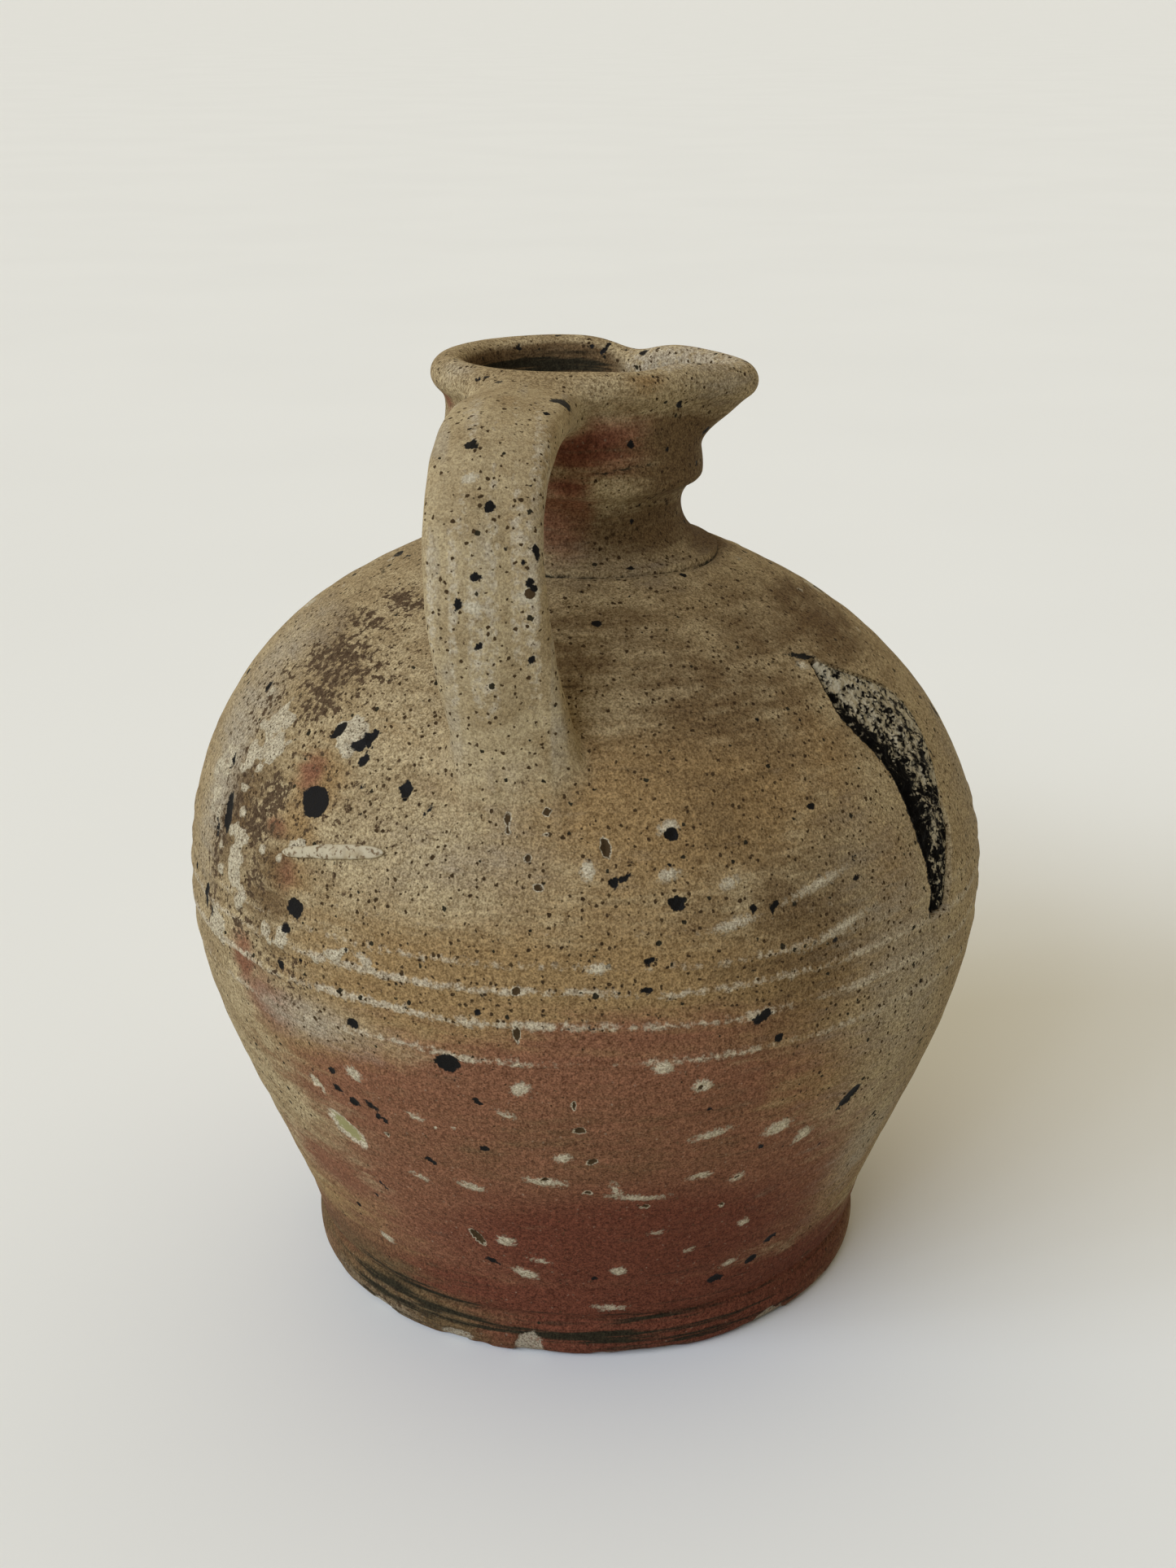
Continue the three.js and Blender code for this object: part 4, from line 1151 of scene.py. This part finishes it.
def lute_fields(shown, sizes, at_foot):
    """Marks on a lute, and washes that pass from the strap's to those of the skin beside it."""
    skin = jug_skin(sizes)
    fields = mark_fields(shown, grid_normals(shown), sizes)
    share = np.linspace(0, 1, LUTE_ROWS)[:, None]
    share = share if at_foot else share[::-1]
    row, column = place_on_skin(shown, skin.profile)
    strap = strap_fields(shown)
    fields["thrown"] = np.tile(share, HANDLE_COLUMNS)
    for name in WASHES:
        beside = between(skin.fields[name][..., None], row, column)[..., 0]
        fields[name] = share * beside + (1 - share) * strap.get(name, 0)
    return fields


# The slag and the sliver that the kiln stuck to the jug

def clinker_rings(sizes):
    """Rings across the slag from its upper face round to its underside, and how pale each point is: dark
    towards the left edge and paler to the right and the upper end, partly the slag's own grains and partly
    painted shade and painted light.
    """
    profile = make_profile(sizes)
    middle, up, left, right = scar_edges(sizes)
    stations = np.linspace(up[0] + 2 * CLINKER_GAP, up[-1] - 2 * CLINKER_GAP, CLINKER_ROWS)
    left = np.interp(stations, up, left) + CLINKER_GAP
    right = np.maximum(np.interp(stations, up, right) - CLINKER_GAP, left + 2 * CLINKER_GAP)
    share = np.concatenate([np.linspace(0, 1, CLINKER_COLUMNS), np.linspace(1, 0, CLINKER_UNDERSIDE)])
    top = np.arange(len(share)) < CLINKER_COLUMNS
    across = left[:, None] + (right - left)[:, None] * share
    way_up = np.repeat(stations[:, None], len(share), axis=1)
    along = way_up + along_at(profile, middle[2])
    radius = np.interp(along, profile.along, profile.radius)
    azimuth = across / radius + math.atan2(middle[1], middle[0])
    # It lies thin along the dark left edge and banks up to the right, more so towards the upper end
    grit = lumps(on_profile(profile, azimuth, along, sizes.scar_depth), SLAG_LUMPS)
    upper = 0.5 + 0.5 * smoothstep(way_up, -20, 5)
    bank = sizes.scar_depth - CLINKER_SUNK + CLINKER_BANK * smoothstep(share, 0, 0.75) * upper
    face = np.maximum(bank + grit * smoothstep(1 - share, 0, 0.12), CLINKER_LEAST)
    rise = np.where(top, face, CLINKER_FLOOR)
    # Darker towards the left edge and paler towards the right and the upper end: black and pale slag, and
    # painted shade and painted light across the lump
    head = smoothstep(way_up, -15, 30)
    pale = -0.72 + 0.2 * head + 0.46 * smoothstep(share, 0.0, 0.6 - 0.25 * head)
    return on_profile(profile, azimuth, along, sizes.scar_depth - rise), np.where(top, pale, -0.6)


def sliver_rings(sizes):
    """Rings along the sliver, which has a ragged outline and breaks down in steps to its left end."""
    left, right = (seen_at(*pixel, sizes)[0] for pixel in SLIVER_ENDS)
    share = np.linspace(0, 1, SLIVER_ROWS)[:, None]
    spine, out = onto_skin(left + (right - left) * share, sizes)
    upward = unit(np.cross(out, right - left))
    taper = np.sin(math.pi * share).clip(0) ** 0.45 * (0.8 + 0.25 * smoothstep(share, 0.3, 0.5))
    half = SLIVER_HALF * taper + SLIVER_RAGGED * clay_noise(spine, 3.5)[:, None]
    step = SLIVER_STEP * (share < SLIVER_BREAK)
    step = step + sum(0.2 * bell(share - place, width) for place, width in SLIVER_NOTCHES)
    tall = SLIVER_TALL * np.sin(math.pi * np.clip(share, 0.02, 0.98)) ** 0.3 - step
    turn = np.linspace(0, 2 * math.pi, SLIVER_COLUMNS, endpoint=False)
    lift = np.where(np.sin(turn) > 0, np.abs(np.sin(turn)) ** 0.35, 0.4 * np.sin(turn))
    rings = spine[:, None] + upward[:, None] * (half * np.cos(turn))[..., None]
    rings = onto_skin(rings, sizes)[0] + out[:, None] * (tall * lift)[..., None]
    return rings + 0.3 * clay_noise(rings, 1.8)[..., None] * out[:, None]


# Materials

def node(tree, kind, inputs=None, **settings):
    """Adds a node with its settings; an input is a value to set or a socket to link."""
    made = tree.nodes.new(kind)
    for name, value in settings.items():
        setattr(made, name, value)
    for name, value in (inputs or {}).items():
        if isinstance(value, bpy.types.NodeSocket):
            tree.links.new(value, made.inputs[name])
        else:
            made.inputs[name].default_value = value
    return made


def blank_material(name):
    """An empty node material with its shader, and the tree to add to."""
    material = bpy.data.materials.new(name)
    material.use_nodes = True
    material.node_tree.nodes.clear()
    shader = node(material.node_tree, "ShaderNodeBsdfPrincipled")
    node(material.node_tree, "ShaderNodeOutputMaterial", {"Surface": shader.outputs[0]})
    return material, material.node_tree, shader


def per_mm(size):
    """Texture scale, in object metres, of a pattern that repeats every so many millimetres."""
    return 1 / (size * MM)


def paint(tree, below, tint, low, high, field, *terms):
    """Lays a colour over another where a field, with weighted terms added to it, rises between two levels."""
    for weight, term in terms:
        summed = node(tree, "ShaderNodeMath", {0: term, 1: weight, 2: field}, operation="MULTIPLY_ADD")
        field = summed.outputs[0]
    share = node(
        tree, "ShaderNodeMapRange", {"Value": field, "From Min": low, "From Max": high},
        interpolation_type="SMOOTHSTEP",
    ).outputs[0]
    mixed = node(tree, "ShaderNodeMix", {0: share, 6: below, 7: (*tint, 1)}, data_type="RGBA")
    return mixed.outputs[2], share


def clay_patterns(tree):
    """The fields that the meshes carry, and noises, each with its real size in millimetres."""
    place = node(tree, "ShaderNodeTexCoord").outputs["Object"]
    drawn, turned = (
        node(tree, "ShaderNodeMapping", {"Vector": place, "Scale": (round_axis, round_axis, 1)}).outputs[0]
        for round_axis in (0.25, 0.06)
    )
    fields = {
        key: node(tree, "ShaderNodeAttribute", attribute_name=key).outputs["Fac"]
        for key in (*MARK_FIELDS, *SHARE_FIELDS)
    }
    noises = {
        key: node(
            tree, "ShaderNodeTexNoise",
            {"Vector": vector, "Scale": per_mm(size), "Detail": detail, "Roughness": 0.62},
        ).outputs[0]
        for key, vector, size, detail in (
            ("broad", place, 42, 3), ("cloud", place, 12, 4), ("dabs", place, 1.7, 4),
            ("grain", place, 1.0, 3), ("fine", place, 0.45, 2), ("streak", drawn, 3, 5),
            ("lines", turned, 1.6, 4),
        )
    }
    # Fine lines that the turning left
    lines = node(
        tree, "ShaderNodeMapRange",
        {"Value": noises["lines"], "From Min": 0.3, "From Max": 0.7, "To Min": -0.1, "To Max": 0.1},
    ).outputs[0]
    return Clay(tree, bpy.context.scene.jug_colours, place, fields, noises, lines, {})


def bare_clay(clay):
    """Two buffs that drift into each other, with fine lines of the turning on all but the strap."""
    return paint(
        clay.tree, (*clay.colours.buff, 1), clay.colours.buff_shade, 0.84, 1.2, clay.noises["cloud"],
        (0.6, clay.noises["streak"]), (0.45, clay.noises["broad"]), (clay.fields["thrown"], clay.lines),
    )[0]


def flame_flashes(clay, ground):
    """Flashes of the flame, their edges broken by the throwing marks."""
    for key, tint, low, high in (
        ("orange", clay.colours.tan, 0.72, 1.45), ("red", clay.colours.red, 0.72, 1.4),
        ("maroon", clay.colours.maroon, 0.76, 1.6), ("umber", clay.colours.umber, 0.7, 1.4),
        ("olive", clay.colours.olive, 0.7, 1.6),
    ):
        ground, clay.shares[key] = paint(
            clay.tree, ground, tint, low, high, clay.fields[key], (0.45, clay.noises["cloud"]),
            (0.75, clay.noises["streak"]), (clay.fields["thrown"], clay.lines),
        )
    return ground


def dabbed_slip(clay, ground):
    """Pale slip in dabs on the rings, the strap and the lip."""
    ground, clay.shares["slip"] = paint(
        clay.tree, ground, clay.colours.slip, 0.7, 0.95, clay.noises["dabs"], (0.5, clay.fields["slip"])
    )
    return ground


def iron_specks(clay, ground):
    """Specks of iron in the clay, and dull ones of ash on the red."""
    tree, colours = clay.tree, clay.colours
    tremble = node(tree, "ShaderNodeTexNoise", {"Vector": clay.place, "Scale": per_mm(1), "Detail": 2})
    shaken = node(
        tree, "ShaderNodeVectorMath", {0: tremble.outputs["Color"], 1: (MM, MM, MM), 2: clay.place},
        operation="MULTIPLY_ADD",
    ).outputs[0]
    # Spacing, share of them that shows, reach, more on red, more on slip, colour, softness
    for cell, shown, reach, on_red, on_slip, tint, soft in (
        (1.2, 0.5, 0.4, 0.8, 0.0, colours.olive, 0.7),
        (read_sizes().grain_size, 0.8, 0.42, -0.18, 0.0, colours.speck, 0.12),
        (2.6, 0.3, 0.26, -0.1, 0.14, colours.soot, 0.05),
        (7.5, 0.25, 0.14, 0.0, 0.0, colours.iron, 0.03),
    ):
        dots = node(tree, "ShaderNodeTexVoronoi", {"Vector": shaken, "Scale": per_mm(cell)})
        chance = node(tree, "ShaderNodeSeparateColor", {0: dots.outputs["Color"]}).outputs[0]
        bias = -max(on_red, 0)
        size = node(
            tree, "ShaderNodeMapRange",
            {"Value": chance, "From Min": 1 - shown, "From Max": 1, "To Min": bias, "To Max": reach + bias},
            clamp=False,
        ).outputs[0]
        inside = node(tree, "ShaderNodeMath", {0: size, 1: dots.outputs["Distance"]}, operation="SUBTRACT")
        ground, _ = paint(
            tree, ground, tint, 0.0, soft, inside.outputs[0],
            (on_slip, clay.shares["slip"]), (on_red, clay.shares["red"]),
        )
    return ground


def settled_scraps(clay, ground):
    """Ash and soot that settled on the clay in ragged scraps, black at the scar that is charred clay and
    painted shade, and the bare clay of the foot's chips.
    """
    colours = clay.colours
    for key, tint, texture, weight, low, high in (
        ("ash", colours.ash, "dabs", 0.24, 0.66, 0.73), ("crust", colours.crust, "grain", 0.7, 0.75, 0.95),
        ("crust", colours.ash, "fine", 0.2, 0.8, 0.86), ("soot", colours.soot, "lines", 0.32, 0.66, 0.84),
        # The black at the scar is charred clay and painted shade at its left edge and in its hollow
        ("chip", colours.olive, "grain", 0.45, 0.7, 1.0), ("char", colours.iron, "grain", 0.55, 0.75, 0.9),
    ):
        ground, _ = paint(
            clay.tree, ground, tint, low, high, clay.noises[texture], (weight, clay.fields[key])
        )
    return ground


def broken_marks(clay, ground, rows):
    """Marks with outlines that are broken by a pattern of about their own size."""
    for key, tint, texture, broken, low, high in rows:
        ground, clay.shares[key] = paint(
            clay.tree, ground, tint, low, high, clay.fields[key], (broken, clay.noises[texture])
        )
    return ground


def pale_flecks(clay, ground):
    """Pale flecks of burst grit, and the pale rims of pits and of glass pools."""
    pale = clay.colours.pale
    return broken_marks(clay, ground, (
        ("pale", pale, "grain", 3.6, 1.3, 2.3), ("glass", pale, "dabs", 3.2, 1.2, 2.0),
        ("pit", pale, "grain", 0.9, 0.25, 0.45),
    ))


def dry_grit(clay, ground):
    """Grains that stand out light, and shade between them, less so on the smooth-pulled strap."""
    rough = node(
        clay.tree, "ShaderNodeMapRange",
        {"Value": clay.fields["thrown"], "To Min": STRAP_GRIT, "To Max": BODY_GRIT},
    ).outputs[0]
    # Pattern, the levels between which it comes in, and what it multiplies the colour by
    for key, low, high, tone in (
        ("grain", 0.45, 0.68, (0.56, 0.5, 0.43)), ("fine", 0.45, 0.68, (0.4, 0.34, 0.28)),
        ("grain", 0.48, 0.3, (1.2, 1.18, 1.15)), ("fine", 0.5, 0.3, (1.3, 1.27, 1.22)),
        ("dabs", 0.52, 0.75, (0.8, 0.76, 0.7)),
    ):
        grit = node(
            clay.tree, "ShaderNodeMapRange",
            {"Value": clay.noises[key], "From Min": low, "From Max": high, "To Max": rough},
        ).outputs[0]
        ground = node(
            clay.tree, "ShaderNodeMix", {0: grit, 6: ground, 7: (*tone, 1)},
            data_type="RGBA", blend_type="MULTIPLY",
        ).outputs[2]
    return ground


def melted_marks(clay, ground):
    """Green glass, open pits with dark cores that are partly painted shade, black iron spots and dark cracks.
    """
    colours = clay.colours
    return broken_marks(clay, ground, (
        # The pits' dark cores are partly their brown hollows and partly painted shade, in hollows too small
        # for the mesh to shade
        ("glass", colours.glass, "grain", 3.6, 2.5, 3.3), ("pit", colours.speck, "grain", 0.9, 0.4, 0.6),
        ("iron", colours.iron, "dabs", 2.4, 1.0, 1.25), ("crack", colours.soot, "grain", 0.9, 0.05, 0.4),
    ))


def stoneware(name):
    """Wood-fired stoneware, unglazed: dry, gritty clay that the flame flashed from buff to maroon.

    The eye sees a matt ground full of dark iron specks, soft flashes with ragged edges drawn out
    along the throwing marks, pale grit and rings of slip, and black spots where iron melted.
    """
    material, tree, shader = blank_material(name)
    clay = clay_patterns(tree)
    ground = bare_clay(clay)
    for layer in (
        flame_flashes, dabbed_slip, iron_specks, settled_scraps, pale_flecks, dry_grit, melted_marks
    ):
        ground = layer(clay, ground)
    tree.links.new(ground, shader.inputs["Base Color"])
    # Melted spots are a little glossier than the dry clay
    gloss = node(tree, "ShaderNodeMapRange", {"Value": clay.shares["iron"], "To Min": 0.9, "To Max": 0.6})
    tree.links.new(gloss.outputs[0], shader.inputs["Roughness"])
    shader.inputs["IOR"].default_value = 1.5
    shader.inputs["Specular IOR Level"].default_value = 0.12
    # Grit and fine lines of the turning
    height = clay.noises["grain"]
    for weight, key in ((0.5, "fine"), (0.6, "streak")):
        height = node(
            tree, "ShaderNodeMath", {0: clay.noises[key], 1: weight, 2: height}, operation="MULTIPLY_ADD"
        ).outputs[0]
    bump = node(tree, "ShaderNodeBump", {"Strength": 0.9, "Distance": 0.3 * MM, "Height": height})
    tree.links.new(bump.outputs[0], shader.inputs["Normal"])
    return material


def kiln_slag():
    """Kiln slag: clinker of fused grit, rough, with pale grains among black glassy ones."""
    colours = bpy.context.scene.jug_colours
    material, tree, shader = blank_material("fused_kiln_slag")
    place = node(tree, "ShaderNodeTexCoord").outputs["Object"]
    grains = node(tree, "ShaderNodeTexVoronoi", {"Vector": place, "Scale": per_mm(0.6)})
    clumps = node(tree, "ShaderNodeTexNoise", {"Vector": place, "Scale": per_mm(2.4), "Detail": 5}).outputs[0]
    # The mesh's paleness, which carries painted shade on the left of the slag and painted light on its right,
    # over its own grains
    lit = node(tree, "ShaderNodeAttribute", attribute_name="pale").outputs["Fac"]
    ground, share = paint(
        tree, (*colours.slag_dark, 1), colours.slag_pale, 0.72, 1.05, lit, (0.55, grains.outputs["Color"]),
        (1.5, clumps),
    )
    tree.links.new(ground, shader.inputs["Base Color"])
    rough = node(tree, "ShaderNodeMapRange", {"Value": share, "To Min": 0.7, "To Max": 0.9}).outputs[0]
    tree.links.new(rough, shader.inputs["Roughness"])
    shader.inputs["Specular IOR Level"].default_value = 0.06
    bump = node(
        tree, "ShaderNodeBump", {"Strength": 0.9, "Distance": 0.35 * MM, "Height": grains.outputs["Distance"]}
    )
    tree.links.new(bump.outputs[0], shader.inputs["Normal"])
    return material


def pale_clay():
    """Pale clay fired dry: a chalky flake with a few dark specks and fine drag lines."""
    colours = bpy.context.scene.jug_colours
    material, tree, shader = blank_material("pale_fired_clay")
    place = node(tree, "ShaderNodeTexCoord").outputs["Object"]
    tone = node(tree, "ShaderNodeTexNoise", {"Vector": place, "Scale": per_mm(3), "Detail": 5}).outputs[0]
    specks = node(tree, "ShaderNodeTexVoronoi", {"Vector": place, "Scale": per_mm(2.2)})
    flakes = node(tree, "ShaderNodeTexNoise", {"Vector": place, "Scale": per_mm(1), "Detail": 3}).outputs[0]
    ground, _ = paint(tree, (*colours.sliver, 1), colours.buff_shade, 0.48, 0.8, tone)
    ground, _ = paint(tree, ground, colours.umber, 0.5, 0.66, flakes)
    ground, _ = paint(
        tree, ground, colours.speck, 0.68, 0.8, specks.outputs["Color"], (-1, specks.outputs["Distance"])
    )
    tree.links.new(ground, shader.inputs["Base Color"])
    shader.inputs["Roughness"].default_value = 0.9
    bump = node(tree, "ShaderNodeBump", {"Strength": 0.6, "Distance": 0.2 * MM, "Height": tone})
    tree.links.new(bump.outputs[0], shader.inputs["Normal"])
    return material


def painted_board():
    """Matt white paint on board: a pale, even floor with a trace of roller texture."""
    colours = bpy.context.scene.jug_colours
    material, tree, shader = blank_material("matt_painted_board")
    place = node(tree, "ShaderNodeTexCoord").outputs["Object"]
    tone = node(tree, "ShaderNodeTexNoise", {"Vector": place, "Scale": per_mm(250), "Detail": 2}).outputs[0]
    darker = [0.985 * share for share in colours.floor]
    ground, _ = paint(tree, (*colours.floor, 1), darker, 0.3, 0.7, tone)
    tree.links.new(ground, shader.inputs["Base Color"])
    shader.inputs["Roughness"].default_value = 0.9
    shader.inputs["Specular IOR Level"].default_value = 0.2
    return material


def fired_clay(slot):
    """The stoneware of a slot, made once and then used by every piece in it."""
    name = "wood_fired_" + slot
    return bpy.data.materials.get(name) or stoneware(name)


# Operators, one for each piece or group of like pieces

class JUG_OT_stage(bpy.types.Operator):
    """Adds the pale floor, the soft light and the camera"""

    bl_idname = "jug.stage"
    bl_label = "Stage"

    def execute(self, context):
        mesh = bpy.data.meshes.new("floor")
        corners = [(FLOOR_REACH * x, FLOOR_REACH * y, 0) for x, y in ((-1, -1), (1, -1), (1, 1), (-1, 1))]
        mesh.from_pydata(corners, [], [(0, 1, 2, 3)])
        mesh.materials.append(painted_board())
        floor = bpy.data.objects.new("floor", mesh)
        context.scene.collection.objects.link(floor)
        self.add_room(context)
        self.add_window(context)
        context.scene.view_settings.view_transform = "Standard"
        self.add_camera(context)
        return {"FINISHED"}

    def add_room(self, context):
        world = bpy.data.worlds.new("soft_room")
        world.use_nodes = True
        tree = world.node_tree
        way = node(tree, "ShaderNodeTexCoord").outputs["Generated"]
        bright = heading(ROOM_TURN, ROOM_RISE)
        facing = node(tree, "ShaderNodeVectorMath", {0: way, 1: bright}, operation="DOT_PRODUCT")
        colours = context.scene.jug_colours
        glow, _ = paint(
            tree, (*colours.room_dim, 1), colours.room_bright, -0.7, 0.9, facing.outputs["Value"]
        )
        tree.links.new(glow, tree.nodes["Background"].inputs["Color"])
        context.scene.world = world

    def add_window(self, context):
        share = WINDOW_WIDE / WINDOW_PANES
        for pane in range(WINDOW_PANES):
            lamp = bpy.data.lights.new(f"window_pane_{pane}", "SUN")
            lamp.energy = WINDOW_STRENGTH / WINDOW_PANES
            lamp.angle = PANE_OVERLAP * share
            lamp.color = context.scene.jug_colours.window
            window = bpy.data.objects.new(lamp.name, lamp)
            towards = heading(WINDOW_TURN + share * (pane - (WINDOW_PANES - 1) / 2), WINDOW_RISE)
            window.rotation_mode = "QUATERNION"
            window.rotation_quaternion = (-towards).to_track_quat("-Z", "Y")
            window.location = towards
            context.scene.collection.objects.link(window)

    def add_camera(self, context):
        data = bpy.data.cameras.new("camera")
        data.sensor_width = SENSOR
        data.lens = FOCAL_PIXELS * SENSOR / PHOTO_HEIGHT
        data.clip_end = 2 * FLOOR_REACH
        camera = bpy.data.objects.new("camera", data)
        camera.location = CAMERA_PLACE * MM
        camera.rotation_euler = (math.pi / 2 - CAMERA_PITCH, 0, 0)
        context.scene.collection.objects.link(camera)
        context.scene.camera = camera


class JUG_OT_base_slab(bpy.types.Operator):
    """Builds the base slab with its worn, chipped edge"""

    bl_idname = "jug.base_slab"
    bl_label = "Base slab"

    def execute(self, context):
        sizes = read_sizes()
        inner = sizes.foot_radius - 2 * FOOT_INSET
        rings = ((inner, sizes.base_height), (AXIS_GAP, sizes.base_height), (AXIS_GAP, 0), (inner, 0))
        skin_piece("base_slab", "flashed_stoneware", 0, rings, sizes)
        return {"FINISHED"}


class JUG_OT_walls(bpy.types.Operator):
    """Builds the lower wall and the shoulder wall with their throwing rings and scar"""

    bl_idname = "jug.walls"
    bl_label = "Walls"

    def execute(self, context):
        sizes = read_sizes()
        lower = wall_lining(lower_line(sizes), sizes.wall)
        lower = [(radius, max(height, sizes.base_height)) for radius, height in lower]
        skin_piece("lower_wall", "flashed_stoneware", 1, lower, sizes)
        shoulder = wall_lining(shoulder_line(sizes), sizes.wall)
        hole = (sizes.neck_radius + NECK_BORE) / 2
        shoulder = [(hole, sizes.neck_height)] + [(max(radius, hole), height) for radius, height in shoulder]
        skin_piece("shoulder_wall", "buff_stoneware", 2, shoulder, sizes)
        return {"FINISHED"}


class JUG_OT_neck_and_mouth(bpy.types.Operator):
    """Builds the neck collar and the pouring mouth"""

    bl_idname = "jug.neck_and_mouth"
    bl_label = "Neck and mouth"

    def execute(self, context):
        sizes = read_sizes()
        neck = [(NECK_BORE, sizes.ledge_height), (NECK_BORE, sizes.neck_height)]
        skin_piece("neck_collar", "buff_stoneware", 3, neck, sizes)
        middle = (LEDGE_RADIUS + NECK_BORE) / 2
        skin_piece("pouring_mouth", "buff_stoneware", 4, [(middle, sizes.ledge_height)], sizes)
        return {"FINISHED"}


class JUG_OT_strap_handle(bpy.types.Operator):
    """Builds the pulled strap handle"""

    bl_idname = "jug.strap_handle"
    bl_label = "Strap handle"

    def execute(self, context):
        sizes = read_sizes()
        rings = trimmed_handle(sizes)[0]
        fields = {**mark_fields(rings, grid_normals(rings), sizes), **strap_fields(rings)}
        clay = fired_clay("buff_stoneware")
        fired_piece("strap_handle", clay, rings, sizes, fields=fields, closed=False)
        return {"FINISHED"}


class JUG_OT_lutes(bpy.types.Operator):
    """Builds the clay that is smoothed round both ends of the handle"""

    bl_idname = "jug.lutes"
    bl_label = "Handle lutes"

    def execute(self, context):
        sizes = read_sizes()
        for name, at_foot in (("upper_handle_lute", False), ("lower_handle_lute", True)):
            shown, hidden = lute_rings(sizes, at_foot)
            rings = np.concatenate([shown, hidden])
            fields = lute_fields(shown, sizes, at_foot)
            clay = fired_clay("buff_stoneware")
            fired_piece(name, clay, rings, sizes, grid_normals(shown), fields)
        return {"FINISHED"}


class JUG_OT_kiln_clinker(bpy.types.Operator):
    """Builds the grainy slag that lines the burst scar"""

    bl_idname = "jug.kiln_clinker"
    bl_label = "Kiln clinker"

    def execute(self, context):
        sizes = read_sizes()
        rings, pale = clinker_rings(sizes)
        fields = {"pale": pale}
        fired_piece("kiln_clinker", kiln_slag(), rings, sizes, fields=fields, closed=False)
        return {"FINISHED"}


class JUG_OT_clay_sliver(bpy.types.Operator):
    """Builds the sliver of pale clay stuck to the shoulder"""

    bl_idname = "jug.clay_sliver"
    bl_label = "Clay sliver"

    def execute(self, context):
        sizes = read_sizes()
        fired_piece("clay_sliver", pale_clay(), sliver_rings(sizes), sizes, closed=False)
        return {"FINISHED"}


class JUG_PT_pieces(bpy.types.Panel):
    """Lists the jug's pieces with their sizes and colours"""

    bl_idname = "JUG_PT_pieces"
    bl_label = "Stoneware Jug"
    bl_space_type = "VIEW_3D"
    bl_region_type = "UI"
    bl_category = "Jug"

    def draw(self, context):
        for operator in OPERATORS:
            self.layout.operator(operator.bl_idname)
        for group, names in (
            (context.scene.jug_sizes, JugSizes.__annotations__),
            (context.scene.jug_colours, JugColours.__annotations__),
        ):
            box = self.layout.box()
            for name in names:
                box.prop(group, name)


OPERATORS = (
    JUG_OT_stage, JUG_OT_base_slab, JUG_OT_walls, JUG_OT_neck_and_mouth, JUG_OT_strap_handle, JUG_OT_lutes,
    JUG_OT_kiln_clinker, JUG_OT_clay_sliver,
)
CLASSES = (JugSizes, JugColours, *OPERATORS, JUG_PT_pieces)


def register():
    for each in CLASSES:
        bpy.utils.register_class(each)
    bpy.types.Scene.jug_sizes = PointerProperty(type=JugSizes)
    bpy.types.Scene.jug_colours = PointerProperty(type=JugColours)


def unregister():
    del bpy.types.Scene.jug_colours
    del bpy.types.Scene.jug_sizes
    for each in reversed(CLASSES):
        bpy.utils.unregister_class(each)


def main():
    register()
    for operator in OPERATORS:
        getattr(bpy.ops.jug, operator.bl_idname.split(".")[1])()


if __name__ == "__main__":
    main()
